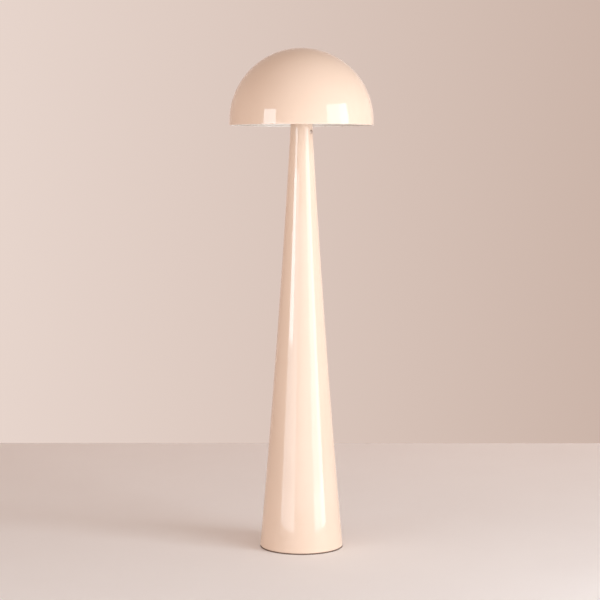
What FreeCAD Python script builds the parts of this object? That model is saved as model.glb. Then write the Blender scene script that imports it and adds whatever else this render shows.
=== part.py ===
"""A floor lamp: a half-round enamelled shade on a tall flared enamelled column.

Millimetres. +Z is up, the origin is on the floor under the column's axis, and -Y is the front.
Every function makes one piece where it sits on the finished lamp.
"""

import FreeCAD, Part
import math
import os

V = FreeCAD.Vector
AXIS = V(0, 0, 1)

# --- the whole lamp ---
OVERALL_HEIGHT = 1500.0

# --- shade: a spun half sphere on a short straight skirt, with a rolled rim ---
SHADE_DIAMETER = 430.0
SHADE_SKIRT = 14.0
SHADE_WALL = 1.0
RIM_BEAD_DIAMETER = 3.2

# --- column: a flared sheet-steel shell with a straight neck and a turned-in lip ---
BASE_DIAMETER = 251.0
NECK_DIAMETER = 66.6
COLUMN_WALL = 1.2
FLARE_SAG = 5.0
NECK_LENGTH = 35.0
NECK_TOP_ABOVE_RIM = 19.0
NECK_BLEND_RADIUS = 480.0
LIP_RADIUS = 3.0
LIP_FLANGE_WIDTH = 10.5

# --- foot and ballast ---
PAD_THICKNESS = 3.0
PAD_INSET = 0.4
BASE_PLATE_THICKNESS = 4.5
BASE_PLATE_CLEARANCE = 0.5
BASE_RING_THICKNESS = 4.0
BASE_RING_OVERLAP = 13.0
BASE_SCREW_COUNT = 4
BALLAST_DIAMETER = 170.0
BALLAST_THICKNESS = 22.0
BALLAST_BORE = 24.0
BALLAST_CHAMFER = 2.0
BALLAST_SCREW_CIRCLE = 110.0
BALLAST_SCREW_COUNT = 3

# --- cable inlet, low at the back ---
INLET_HEIGHT = 24.0
INLET_BORE = 7.4
INLET_BARREL = 12.8
INLET_FLANGE = 18.0
INLET_FLANGE_THICKNESS = 2.0
INLET_DEPTH = 9.0
INLET_NUT_FLATS = 17.0
INLET_NUT_THICKNESS = 3.0

# --- wiring ---
LEAD_DIAMETER = 6.4
CORE_DIAMETER = 2.2
CORE_OFFSET = 1.6
BLOCK_LENGTH = 26.0
BLOCK_DEPTH = 18.0
BLOCK_HEIGHT = 14.0
BLOCK_DISTANCE = 70.0
LEAD_HEIGHT_ON_BLOCK = 8.0
LEAD_LEVEL_RUN = 30.0
LEAD_SWING_HEIGHT = 55.0
LEAD_TOP_BELOW_SWITCH = 30.0
CORE_STRAIGHT_END = 8.5

# --- neck bush and the seat that carries the shade ---
NECK_BUSH_HEIGHT = 12.0
NECK_BUSH_WALL = 12.0
WELD_GAP = 0.05
SEAT_FLANGE_THICKNESS = 3.0
SEAT_SPIGOT_RISE = 2.0
SEAT_CLEARANCE = 0.5
SEAT_EDGE = 0.8
SEAT_SCREW_COUNT = 3
GASKET_THICKNESS = 1.5

# --- shade spider ---
HUB_CLEARANCE_OVER_BULB = 5.0
HUB_WIDTH = 11.0
HUB_THICKNESS = 2.5
ARM_COUNT = 3
ARM_FIRST_BEARING = 90.0
ARM_WIDTH = 14.0
ARM_THICKNESS = 2.0
ARM_BEND_RADIUS = 3.0
ARM_WELD_LENGTH = 9.0
ARM_TAB_LENGTH = 18.0
ARM_END_RISE = 40.0
STUD_DIAMETER = 4.0
STUD_FLANGE = 5.6
STUD_FLANGE_THICKNESS = 0.8
STUD_LENGTH = 8.5
STUD_WASHER_DIAMETER = 9.0
STUD_WASHER_THICKNESS = 0.8
STUD_NUT_FLATS = 7.0
STUD_NUT_THICKNESS = 3.2
HOLE_CLEARANCE = 0.3

# --- lampholder for a 27 mm screw cap, on a threaded tube ---
TUBE_DIAMETER = 10.0
TUBE_BORE = 7.2
TUBE_END_BELOW_NUT = 2.0
TUBE_NUT_FLATS = 14.0
TUBE_NUT_THICKNESS = 4.0
TUBE_WASHER_DIAMETER = 20.0
TUBE_WASHER_THICKNESS = 1.0
HOLDER_DIAMETER = 39.0
HOLDER_WALL = 1.8
HOLDER_COLLAR_DIAMETER = 16.0
HOLDER_COLLAR_HEIGHT = 8.0
HOLDER_CAP_HEIGHT = 22.0
HOLDER_SKIRT_HEIGHT = 32.0
HOLDER_MOUTH_DIAMETER = 31.0
CONTACT_BLOCK_HEIGHT = 8.0
CONTACT_SHELL_HEIGHT = 24.0
CONTACT_SHELL_WALL = 0.5
CONTACT_SHELL_CLEARANCE = 0.4
TONGUE_RISE = 4.0
TONGUE_WIDTH = 6.0
TONGUE_THICKNESS = 0.6
TONGUE_ROOT_LENGTH = 6.0
TONGUE_RAMP_LENGTH = 4.0
TONGUE_PAD_LENGTH = 4.0
TONGUE_BEND_RADIUS = 0.6
TONGUE_GAP = 0.3

# --- bulb ---
BULB_DIAMETER = 60.0
BULB_LENGTH = 108.0
BULB_CAP_DIAMETER = 26.2
BULB_CAP_HEIGHT = 20.0
BULB_TIP_DIAMETER = 9.0
BULB_TIP_HEIGHT = 2.0
BULB_INSULATOR_HEIGHT = 4.0
BULB_INSULATOR_STEP = 1.0
BULB_BODY_HEIGHT = 32.0
BULB_BODY_MOUTH = 54.0
BULB_BODY_HOLLOW = 2.5

# --- push button switch on the neck ---
SWITCH_BELOW_RIM = 19.0
SWITCH_BEARING = -32.0
SWITCH_BEZEL_DIAMETER = 12.0
SWITCH_BEZEL_THICKNESS = 1.8
SWITCH_BARREL_DIAMETER = 9.8
SWITCH_BARREL_LENGTH = 12.0
SWITCH_HOUSING_DIAMETER = 12.6
SWITCH_HOUSING_LENGTH = 9.0
SWITCH_NUT_FLATS = 14.0
SWITCH_NUT_THICKNESS = 2.5
SWITCH_EDGE = 0.5
BUTTON_DIAMETER = 8.0
BUTTON_RUNNING_GAP = 0.1
BUTTON_LENGTH = 8.0
BUTTON_PROUD = 1.4
BUTTON_TRAVEL = 1.5
BUTTON_END_GAP = 0.5
TAG_LENGTH = 5.0
TAG_HEIGHT = 2.8
TAG_THICKNESS = 0.5
TAG_SPREAD = 5.2

# --- fasteners: thread diameters, then what their heads measure as a share of the thread ---
M3_DIAMETER = 3.0
M4_DIAMETER = 4.0
M5_DIAMETER = 5.0
M6_DIAMETER = 6.0
COUNTERSUNK_HEAD_RATIO = 1.9
KEY_RATIO = 0.55
CHEESE_HEAD_RATIO = 1.8
CHEESE_HEIGHT_RATIO = 0.6
SLOT_RATIO = 0.25
POINT_CHAMFER_RATIO = 0.125
SCREW_END_GAP = 1.0
THREAD_GAP = 0.05

# --- heights worked out from the sizes above ---
SHADE_RADIUS = SHADE_DIAMETER / 2
RIM_Z = OVERALL_HEIGHT - SHADE_RADIUS - SHADE_SKIRT
DOME_CENTRE_Z = RIM_Z + SHADE_SKIRT
NECK_TOP_Z = RIM_Z + NECK_TOP_ABOVE_RIM
FLARE_TOP_Z = NECK_TOP_Z - NECK_LENGTH
COLUMN_FOOT_Z = PAD_THICKNESS
SWITCH_Z = RIM_Z - SWITCH_BELOW_RIM

PLATE_TOP_Z = COLUMN_FOOT_Z + BASE_PLATE_THICKNESS
BASE_RING_TOP_Z = PLATE_TOP_Z + BASE_RING_THICKNESS
BALLAST_TOP_Z = PLATE_TOP_Z + BALLAST_THICKNESS

GASKET_Z = NECK_TOP_Z + SEAT_FLANGE_THICKNESS
HUB_Z = GASKET_Z + GASKET_THICKNESS
ARM_Z = HUB_Z + HUB_THICKNESS
SEAT_TOP_Z = ARM_Z + SEAT_SPIGOT_RISE
TOP_NUT_Z = SEAT_TOP_Z + TUBE_WASHER_THICKNESS
LOWER_WASHER_Z = NECK_TOP_Z - TUBE_WASHER_THICKNESS
LOWER_NUT_Z = LOWER_WASHER_Z - TUBE_NUT_THICKNESS
TUBE_FOOT_Z = LOWER_NUT_Z - TUBE_END_BELOW_NUT
HOLDER_Z = TOP_NUT_Z + TUBE_NUT_THICKNESS
TUBE_TOP_Z = HOLDER_Z + HOLDER_COLLAR_HEIGHT
SKIRT_Z = HOLDER_Z + HOLDER_CAP_HEIGHT
SKIRT_TOP_Z = SKIRT_Z + HOLDER_SKIRT_HEIGHT
HOLDER_BEND_Z = TUBE_TOP_Z + (HOLDER_DIAMETER - HOLDER_COLLAR_DIAMETER) / 2 - HOLDER_WALL
CONTACT_BLOCK_Z = HOLDER_BEND_Z
CONTACT_FACE_Z = CONTACT_BLOCK_Z + CONTACT_BLOCK_HEIGHT
BULB_TIP_Z = CONTACT_FACE_Z + TONGUE_RISE + TONGUE_GAP

# --- radii worked out from the sizes above ---
NECK_RADIUS = NECK_DIAMETER / 2
LIP_OPENING_RADIUS = BASE_DIAMETER / 2 - LIP_RADIUS - LIP_FLANGE_WIDTH
BASE_PLATE_RADIUS = LIP_OPENING_RADIUS - BASE_PLATE_CLEARANCE
BASE_RING_BORE_RADIUS = BASE_PLATE_RADIUS - BASE_RING_OVERLAP
BASE_SCREW_RADIUS = BASE_PLATE_RADIUS - BASE_RING_OVERLAP / 2
BUSH_RADIUS = NECK_RADIUS - COLUMN_WALL - WELD_GAP
BUSH_BORE_RADIUS = BUSH_RADIUS - NECK_BUSH_WALL
SEAT_SCREW_RADIUS = BUSH_RADIUS - NECK_BUSH_WALL / 2
HUB_BORE_RADIUS = BULB_DIAMETER / 2 + HUB_CLEARANCE_OVER_BULB
HUB_RADIUS = HUB_BORE_RADIUS + HUB_WIDTH
SPIGOT_RADIUS = HUB_BORE_RADIUS - SEAT_CLEARANCE
BULB_CAP_RADIUS = BULB_CAP_DIAMETER / 2


# --- shaping helpers ---

class Outline:
    """A closed outline on the plane y = 0, drawn with radius along X and height along Z."""

    def __init__(self, radius, height):
        self.start = V(radius, 0, height)
        self.end = self.start
        self.edges = []

    def line(self, radius, height):
        point = V(radius, 0, height)
        self.edges.append(Part.makeLine(self.end, point))
        self.end = point
        return self

    def arc(self, through, end):
        middle = V(through[0], 0, through[1])
        point = V(end[0], 0, end[1])
        self.edges.append(Part.Arc(self.end, middle, point).toShape())
        self.end = point
        return self

    def face(self):
        if self.end.distanceToPoint(self.start) > 1e-6:
            self.line(self.start.x, self.start.z)
        return Part.Face(Part.Wire(self.edges))

    def turned(self):
        return self.face().revolve(V(0, 0, 0), AXIS, 360)


def on_circle(centre, radius, degrees):
    angle = math.radians(degrees)
    return (centre[0] + radius * math.cos(angle), centre[1] + radius * math.sin(angle))


def towards(start, end, distance):
    """The point that lies the given distance from start, on the way to end."""
    length = math.hypot(end[0] - start[0], end[1] - start[1])
    share = distance / length
    return (start[0] + (end[0] - start[0]) * share, start[1] + (end[1] - start[1]) * share)


def round_centre_arc(outline, centre, end):
    """Continue the outline to end on the shorter arc about centre."""
    start = (outline.end.x, outline.end.z)
    radius = math.hypot(start[0] - centre[0], start[1] - centre[1])
    halfway = ((start[0] + end[0]) / 2, (start[1] + end[1]) / 2)
    return outline.arc(towards(centre, halfway, radius), end)


def shallow_arc(outline, centre, end):
    """Continue the outline to end on an arc of many metres, drawn as a smooth curve."""
    start = (outline.end.x, outline.end.z)
    radius = math.hypot(start[0] - centre[0], start[1] - centre[1])
    halfway = ((start[0] + end[0]) / 2, (start[1] + end[1]) / 2)
    middle = towards(centre, halfway, radius)
    upwards = 1 if end[1] > start[1] else -1
    slopes = [
        V(z - centre[1], 0, centre[0] - x) * upwards
        for x, z in (start, end)
    ]
    finish = V(end[0], 0, end[1])
    curve = Part.BSplineCurve()
    curve.interpolate(Points=[outline.end, V(middle[0], 0, middle[1]), finish],
                      InitialTangent=slopes[0].normalize(), FinalTangent=slopes[1].normalize())
    outline.edges.append(curve.toShape())
    outline.end = finish
    return outline


def rounded_route(points, bend_radius=None):
    """Straight runs joined by tangent arcs, of one radius or as large as their runs allow."""
    edges = []
    start = points[0]
    for before, corner, after in zip(points, points[1:], points[2:]):
        run_in = (corner - before).normalize()
        run_out = (after - corner).normalize()
        half_turn = run_in.getAngle(run_out) / 2
        if bend_radius:
            setback = bend_radius * math.tan(half_turn)
        else:
            setback = min((corner - before).Length, (after - corner).Length) / 2
        radius = setback / math.tan(half_turn)
        bulge = (run_in - run_out).normalize()
        middle = corner - bulge * (radius / math.cos(half_turn) - radius)
        leave = corner - run_in * setback
        join = corner + run_out * setback
        edges.append(Part.makeLine(start, leave))
        edges.append(Part.Arc(leave, middle, join).toShape())
        start = join
    edges.append(Part.makeLine(start, points[-1]))
    return Part.Wire(edges)


def bent_bar(points, thickness, width, bend_radius):
    """A flat bar bent along points on the plane y = 0; the radius is the inside one."""
    root = points[0]
    heading = (points[1] - root).normalize()
    normal = V(-heading.z, 0, heading.x) * (thickness / 2)
    half = V(0, width / 2, 0)
    section = Part.makePolygon([
        root + normal + half,
        root - normal + half,
        root - normal - half,
        root + normal - half,
        root + normal + half,
    ])
    route = rounded_route(points, bend_radius + thickness / 2)
    return route.makePipeShell([section], True, False)


def ring(outer_radius, inner_radius, z, height):
    outer = Part.makeCylinder(outer_radius, height, V(0, 0, z))
    return outer.cut(Part.makeCylinder(inner_radius, height, V(0, 0, z)))


def around(shape, count, first_bearing=0.0):
    """Copies of a shape evenly round the lamp's axis."""
    copies = []
    for index in range(count):
        bearing = first_bearing + 360.0 * index / count
        copies.append(shape.rotated(V(0, 0, 0), AXIS, bearing))
    return copies


def facing(shape, origin, direction):
    """Turn a shape made along +Z so that +Z points along direction, and move it to origin."""
    placed = shape.copy()
    placed.Placement = FreeCAD.Placement(origin, FreeCAD.Rotation(AXIS, direction))
    return placed


def hex_prism(across_flats, height, z=0.0):
    radius = across_flats / math.sqrt(3)
    corners = [on_circle((0, 0), radius, 60 * side) for side in range(7)]
    wire = Part.makePolygon([V(x, y, z) for x, y in corners])
    return Part.Face(wire).extrude(V(0, 0, height))


def hex_nut(across_flats, thickness, bore, z=0.0):
    """A nut whose corners are turned off at both ends."""
    corner = across_flats / math.sqrt(3)
    flat = across_flats / 2
    drop = (corner - flat) * math.tan(math.radians(30))
    blank = Outline(0, z).line(flat, z).line(corner, z + drop)
    blank.line(corner, z + thickness - drop).line(flat, z + thickness).line(0, z + thickness)
    nut = hex_prism(across_flats, thickness, z).common(blank.turned())
    return nut.cut(Part.makeCylinder(bore / 2, thickness, V(0, 0, z)))


def countersunk_screw(diameter, length):
    """A socket screw along +Z with its flat head at z = 0 and its shank below."""
    head = diameter * COUNTERSUNK_HEAD_RATIO / 2
    shank = diameter / 2 - THREAD_GAP
    cone = head - shank
    chamfer = diameter * POINT_CHAMFER_RATIO
    screw = Outline(0, 0).line(head - THREAD_GAP, 0).line(shank, -cone)
    screw.line(shank, chamfer - length).line(shank - chamfer, -length).line(0, -length)
    key = hex_prism(diameter * KEY_RATIO, diameter / 2, -diameter / 2)
    return screw.turned().cut(key)


def countersunk_hole(diameter, length):
    """What a countersunk screw needs cut away, along +Z with its mouth at z = 0."""
    head = diameter * COUNTERSUNK_HEAD_RATIO / 2
    shank = diameter / 2
    hole = Outline(0, 0).line(head, 0).line(shank, shank - head)
    return hole.line(shank, -length).line(0, -length).turned()


# --- the column's outline ---

def flare_circle():
    """Centre and radius of the shallow arc that the column's side follows."""
    foot = (BASE_DIAMETER / 2, COLUMN_FOOT_Z)
    head = (NECK_RADIUS, FLARE_TOP_Z)
    run = foot[0] - head[0]
    rise = head[1] - foot[1]
    chord = math.hypot(run, rise)
    radius = (chord * chord / 4 + FLARE_SAG * FLARE_SAG) / (2 * FLARE_SAG)
    middle = ((foot[0] + head[0]) / 2, (foot[1] + head[1]) / 2)
    outward = (rise / chord, run / chord)
    distance = radius - FLARE_SAG
    return (middle[0] + outward[0] * distance, middle[1] + outward[1] * distance), radius


def neck_blend_centre():
    """Centre of the arc that leads the flare smoothly into the straight neck."""
    centre, radius = flare_circle()
    across = centre[0] - NECK_RADIUS - NECK_BLEND_RADIUS
    up = math.sqrt((radius - NECK_BLEND_RADIUS) ** 2 - across ** 2)
    return (NECK_RADIUS + NECK_BLEND_RADIUS, centre[1] - up)


def lip_centre():
    """Centre of the rounding where the flare turns in under the lamp."""
    centre, radius = flare_circle()
    height = COLUMN_FOOT_Z + LIP_RADIUS
    across = math.sqrt((radius + LIP_RADIUS) ** 2 - (height - centre[1]) ** 2)
    return (centre[0] - across, height)


def column_radius(z, inset=0.0):
    """Radius of the column's side at a height, or of a surface that lies inset inside it."""
    blend = neck_blend_centre()
    if z >= blend[1]:
        return NECK_RADIUS - inset
    flare, radius = flare_circle()
    join = towards(flare, blend, radius)
    if z > join[1]:
        return blend[0] - math.sqrt((NECK_BLEND_RADIUS + inset) ** 2 - (z - blend[1]) ** 2)
    return flare[0] - math.sqrt((radius + inset) ** 2 - (z - flare[1]) ** 2)


def column_side(inset):
    """The points where the side's arcs meet, from the lip's flange up to the neck's top."""
    flare, radius = flare_circle()
    lip = lip_centre()
    blend = neck_blend_centre()
    return {
        "flange": (LIP_OPENING_RADIUS, COLUMN_FOOT_Z + inset),
        "lip": (lip[0], COLUMN_FOOT_Z + inset),
        "flare": towards(flare, lip, radius + inset),
        "blend": towards(flare, blend, radius + inset),
        "neck": (NECK_RADIUS - inset, blend[1]),
        "top": (NECK_RADIUS - inset, NECK_TOP_Z),
    }


def switch_direction():
    bearing = math.radians(SWITCH_BEARING)
    return V(math.cos(bearing), math.sin(bearing), 0)


def switch_seat():
    """The point on the switch's axis where its bezel rests on the neck."""
    reach = column_radius(SWITCH_Z - SWITCH_BEZEL_DIAMETER / 2)
    return V(0, 0, SWITCH_Z) + switch_direction() * reach


def inlet_direction():
    """Square to the column's side at the back."""
    flare, radius = flare_circle()
    lean = math.asin((flare[1] - INLET_HEIGHT) / radius)
    return V(0, math.cos(lean), math.sin(lean))


def inlet_seat():
    return V(0, column_radius(INLET_HEIGHT), INLET_HEIGHT)


def column_shell():
    """One skin of even thickness: turned-in lip, hollow flare, blend and straight neck."""
    outer = column_side(0.0)
    inner = column_side(COLUMN_WALL)
    flare, _ = flare_circle()
    lip = lip_centre()
    blend = neck_blend_centre()

    skin = Outline(*outer["flange"])
    skin.line(*outer["lip"])
    round_centre_arc(skin, lip, outer["flare"])
    shallow_arc(skin, flare, outer["blend"])
    shallow_arc(skin, blend, outer["neck"])
    skin.line(*outer["top"])
    skin.line(*inner["top"])
    skin.line(*inner["neck"])
    shallow_arc(skin, blend, inner["blend"])
    shallow_arc(skin, flare, inner["flare"])
    round_centre_arc(skin, lip, inner["lip"])
    skin.line(*inner["flange"])
    shell = skin.turned()

    switch_hole = Part.makeCylinder(SWITCH_BARREL_DIAMETER / 2 + HOLE_CLEARANCE, NECK_DIAMETER)
    shell = shell.cut(facing(switch_hole, V(0, 0, SWITCH_Z), switch_direction()))
    inlet_hole = Part.makeCylinder(INLET_BARREL / 2 + HOLE_CLEARANCE, 2 * INLET_DEPTH)
    inside = inlet_seat() - inlet_direction() * INLET_DEPTH
    return shell.cut(facing(inlet_hole, inside, inlet_direction()))


# --- foot and ballast ---

def foot_pad():
    """A thin soft disc stuck under the lip and the base plate."""
    radius = BASE_DIAMETER / 2 - PAD_INSET
    edge = PAD_THICKNESS / 6
    pad = Outline(0, 0).line(radius - edge, 0).line(radius, edge)
    pad.line(radius, PAD_THICKNESS - edge).line(radius - edge, PAD_THICKNESS)
    return pad.line(0, PAD_THICKNESS).turned()


def base_screws(shape):
    """Base screws or their holes, heads down under the base plate."""
    upside_down = shape.rotated(V(0, 0, 0), V(1, 0, 0), 180)
    upside_down.translate(V(BASE_SCREW_RADIUS, 0, COLUMN_FOOT_Z))
    return around(upside_down, BASE_SCREW_COUNT, 180.0 / BASE_SCREW_COUNT)


def ballast_screws(shape):
    upside_down = shape.rotated(V(0, 0, 0), V(1, 0, 0), 180)
    upside_down.translate(V(BALLAST_SCREW_CIRCLE / 2, 0, COLUMN_FOOT_Z))
    return around(upside_down, BALLAST_SCREW_COUNT, -90.0)


def base_screw_length():
    return BASE_PLATE_THICKNESS + BASE_RING_THICKNESS


def ballast_screw_length():
    return BASE_PLATE_THICKNESS + BALLAST_THICKNESS / 2


def base_ring():
    """A ring welded inside the flare, just above the base plate and tapped for its screws."""
    blank = Outline(BASE_RING_BORE_RADIUS, PLATE_TOP_Z)
    blank.line(column_radius(PLATE_TOP_Z, COLUMN_WALL + WELD_GAP), PLATE_TOP_Z)
    blank.line(column_radius(BASE_RING_TOP_Z, COLUMN_WALL + WELD_GAP), BASE_RING_TOP_Z)
    blank.line(BASE_RING_BORE_RADIUS, BASE_RING_TOP_Z)
    holes = base_screws(countersunk_hole(M5_DIAMETER, base_screw_length()))
    return blank.turned().cut(holes)


def base_plate():
    """A steel disc that lies flush in the lip's opening."""
    disc = Part.makeCylinder(BASE_PLATE_RADIUS, BASE_PLATE_THICKNESS, V(0, 0, COLUMN_FOOT_Z))
    holes = base_screws(countersunk_hole(M5_DIAMETER, base_screw_length()))
    holes += ballast_screws(countersunk_hole(M6_DIAMETER, ballast_screw_length()))
    return disc.cut(holes)


def ballast():
    """A cast-iron disc with chamfered edges and a core hole."""
    radius = BALLAST_DIAMETER / 2
    bore = BALLAST_BORE / 2
    edge = BALLAST_CHAMFER
    blank = Outline(bore, PLATE_TOP_Z).line(radius - edge, PLATE_TOP_Z)
    blank.line(radius, PLATE_TOP_Z + edge).line(radius, BALLAST_TOP_Z - edge)
    blank.line(radius - edge, BALLAST_TOP_Z).line(bore, BALLAST_TOP_Z)
    holes = ballast_screws(countersunk_hole(M6_DIAMETER, ballast_screw_length()))
    holes += block_screws(Part.makeCylinder(M3_DIAMETER / 2, BALLAST_THICKNESS / 2, V(0, 0, 0)))
    return blank.turned().cut(holes)


# --- cable inlet ---

def cable_gland():
    """A flanged bush through the column's side, square to it."""
    bore = INLET_BORE / 2
    barrel = INLET_BARREL / 2
    flange = INLET_FLANGE / 2
    edge = INLET_FLANGE_THICKNESS / 3
    bush = Outline(bore, -INLET_DEPTH).line(barrel, -INLET_DEPTH).line(barrel, 0)
    bush.line(flange, 0).line(flange, INLET_FLANGE_THICKNESS - edge)
    bush.line(flange - edge, INLET_FLANGE_THICKNESS)
    bush.line(bore + edge, INLET_FLANGE_THICKNESS)
    bush.line(bore, INLET_FLANGE_THICKNESS - edge)
    return facing(bush.turned(), inlet_seat(), inlet_direction())


def wall_set_back(reach, lateral, wall):
    """How far inside a point on a round wall its inner face is met, this far to one side."""
    inner = reach - wall
    return reach - math.sqrt(inner * inner - lateral * lateral)


def gland_nut():
    """The nut on the bush's barrel, against the inside of the wall."""
    corner = INLET_NUT_FLATS / math.sqrt(3)
    back = wall_set_back(column_radius(INLET_HEIGHT), corner, COLUMN_WALL)
    bore = INLET_BARREL + 2 * THREAD_GAP
    nut = hex_nut(INLET_NUT_FLATS, INLET_NUT_THICKNESS, bore, -back - INLET_NUT_THICKNESS)
    return facing(nut, inlet_seat(), inlet_direction())


# --- wiring ---

def cable(points, diameter):
    """A round lead along a line of points, bent as gently as its runs allow."""
    circle = Part.makeCircle(diameter / 2, points[0], points[1] - points[0])
    return rounded_route(points).makePipeShell([Part.Wire(circle)], True, False)


def block_front():
    """The middle of the terminal block's front face, where the riser lead comes out."""
    y = BLOCK_DISTANCE - BLOCK_DEPTH / 2
    return V(0, y, BALLAST_TOP_Z + LEAD_HEIGHT_ON_BLOCK)


def riser_lead():
    """The sheathed two-core lead, from the terminal block up the column's axis."""
    start = block_front()
    return cable([
        start,
        start - V(0, LEAD_LEVEL_RUN, 0),
        V(0, 0, start.z + LEAD_SWING_HEIGHT),
        V(0, 0, lead_top_z()),
    ], LEAD_DIAMETER)


def lead_top_z():
    return SWITCH_Z - LEAD_TOP_BELOW_SWITCH


def neck_point(radial, sideways, z):
    """A point in the neck, measured from the axis towards the switch and square to that."""
    outward = switch_direction()
    side = V(-outward.y, outward.x, 0)
    return outward * radial + side * sideways + V(0, 0, z)


def tag_middle():
    """How far the middle of the switch's tags lies from the lamp's axis."""
    return switch_back() - TAG_LENGTH / 2


def switch_back():
    """How far the back of the switch lies from the lamp's axis."""
    seat = column_radius(SWITCH_Z - SWITCH_BEZEL_DIAMETER / 2)
    return seat - SWITCH_BARREL_LENGTH - SWITCH_HOUSING_LENGTH


def live_wire():
    """The core that leaves the lead's sheath for the switch's first tag."""
    bottom = lead_top_z()
    top = SWITCH_Z - TAG_HEIGHT / 2
    reach = tag_middle()
    return cable([
        neck_point(CORE_OFFSET, 0, bottom),
        neck_point(CORE_OFFSET, 0, bottom + CORE_STRAIGHT_END),
        neck_point(reach, TAG_SPREAD / 2, top - CORE_STRAIGHT_END),
        neck_point(reach, TAG_SPREAD / 2, top),
    ], CORE_DIAMETER)


def switched_wire():
    """From the switch's second tag up through the threaded tube to the lampholder."""
    bottom = SWITCH_Z + TAG_HEIGHT / 2
    reach = tag_middle()
    return cable([
        neck_point(reach, -TAG_SPREAD / 2, bottom),
        neck_point(reach, -TAG_SPREAD / 2, bottom + CORE_STRAIGHT_END),
        neck_point(CORE_OFFSET, 0, TUBE_FOOT_Z - CORE_STRAIGHT_END),
        neck_point(CORE_OFFSET, 0, CONTACT_BLOCK_Z),
    ], CORE_DIAMETER)


def neutral_wire():
    """The core that runs straight from the lead's sheath to the lampholder."""
    bottom = neck_point(-CORE_OFFSET, 0, lead_top_z())
    return Part.makeCylinder(CORE_DIAMETER / 2, CONTACT_BLOCK_Z - lead_top_z(), bottom)


def block_screws(shape):
    """The two screws that hold the terminal block, or their holes, tops at the ballast's face."""
    placed = []
    for side in (-1, 1):
        copy = shape.copy()
        x = side * (BLOCK_LENGTH / 2 - M3_DIAMETER)
        copy.translate(V(x, BLOCK_DISTANCE, BALLAST_TOP_Z - BALLAST_THICKNESS / 2))
        placed.append(copy)
    return placed


def cheese_screw(diameter, length):
    """A slotted cheese-head screw along +Z, the end of its shank at z = 0."""
    head = diameter * CHEESE_HEAD_RATIO / 2
    thick = diameter * CHEESE_HEIGHT_RATIO
    slot = diameter * SLOT_RATIO
    shank = diameter / 2 - THREAD_GAP
    screw = Outline(0, 0).line(shank, 0).line(shank, length).line(head, length)
    screw.line(head, length + thick).line(0, length + thick)
    corner = V(-head, -slot / 2, length + thick / 2)
    return screw.turned().cut(Part.makeBox(2 * head, slot, thick / 2, corner))


def terminal_wells():
    """Centres of the four clamp screws on the terminal block."""
    return [
        V(x, BLOCK_DISTANCE + y, BALLAST_TOP_Z + BLOCK_HEIGHT)
        for x in (-BLOCK_LENGTH / 6, BLOCK_LENGTH / 6)
        for y in (-BLOCK_DEPTH / 4, BLOCK_DEPTH / 4)
    ]


def terminal_block():
    """A two-pole block with a lowered ear at each end for its fixing screws."""
    corner = V(-BLOCK_LENGTH / 2, BLOCK_DISTANCE - BLOCK_DEPTH / 2, BALLAST_TOP_Z)
    block = Part.makeBox(BLOCK_LENGTH, BLOCK_DEPTH, BLOCK_HEIGHT, corner)
    ear = 2 * M3_DIAMETER
    for x in (-BLOCK_LENGTH / 2, BLOCK_LENGTH / 2 - ear):
        step = V(x, corner.y, BALLAST_TOP_Z + BLOCK_HEIGHT / 3)
        block = block.cut(Part.makeBox(ear, BLOCK_DEPTH, BLOCK_HEIGHT, step))
    for well in terminal_wells():
        block = block.cut(Part.makeCylinder(
            M4_DIAMETER / 2, BLOCK_HEIGHT / 2, well - V(0, 0, BLOCK_HEIGHT / 2)))
    hole = Part.makeCylinder(M3_DIAMETER / 2, BALLAST_THICKNESS / 2 + BLOCK_HEIGHT)
    return block.cut(block_screws(hole))


def terminal_screws():
    """Clamp screws sunk in the wells of the terminal block."""
    screw = cheese_screw(M4_DIAMETER / 2, BLOCK_HEIGHT / 4)
    depth = V(0, 0, BLOCK_HEIGHT / 2)
    placed = []
    for well in terminal_wells():
        copy = screw.copy()
        copy.translate(well - depth)
        placed.append(copy)
    return placed


# --- neck bush and shade seat ---

def seat_screws(shape):
    copy = shape.copy()
    copy.translate(V(SEAT_SCREW_RADIUS, 0, SEAT_TOP_Z))
    return around(copy, SEAT_SCREW_COUNT, 90.0 + 180.0 / SEAT_SCREW_COUNT)


def seat_screw_length():
    return SEAT_TOP_Z - NECK_TOP_Z + NECK_BUSH_HEIGHT * 0.75


def neck_bush():
    """A turned ring welded flush in the top of the neck."""
    bush = ring(BUSH_RADIUS, BUSH_BORE_RADIUS, NECK_TOP_Z - NECK_BUSH_HEIGHT, NECK_BUSH_HEIGHT)
    return bush.cut(seat_screws(countersunk_hole(M4_DIAMETER, seat_screw_length())))


def shade_seat():
    """A turned disc on the neck: its flange carries the shade, its spigot centres it."""
    seat = Outline(TUBE_DIAMETER / 2 + THREAD_GAP, NECK_TOP_Z)
    seat.line(HUB_RADIUS - SEAT_EDGE, NECK_TOP_Z).line(HUB_RADIUS, NECK_TOP_Z + SEAT_EDGE)
    seat.line(HUB_RADIUS, GASKET_Z).line(SPIGOT_RADIUS, GASKET_Z)
    seat.line(SPIGOT_RADIUS, SEAT_TOP_Z - SEAT_EDGE).line(SPIGOT_RADIUS - SEAT_EDGE, SEAT_TOP_Z)
    seat.line(TUBE_DIAMETER / 2 + THREAD_GAP, SEAT_TOP_Z)
    return seat.turned().cut(seat_screws(countersunk_hole(M4_DIAMETER, seat_screw_length())))


def seat_gasket():
    """A thin silicone ring between the seat's flange and the shade's hub."""
    inner = SPIGOT_RADIUS + SEAT_CLEARANCE / 2
    return ring(HUB_RADIUS - SEAT_EDGE, inner, GASKET_Z, GASKET_THICKNESS)


# --- threaded tube and lampholder ---

def threaded_tube():
    length = TUBE_TOP_Z - TUBE_FOOT_Z
    return ring(TUBE_DIAMETER / 2, TUBE_BORE / 2, TUBE_FOOT_Z, length)


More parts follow.
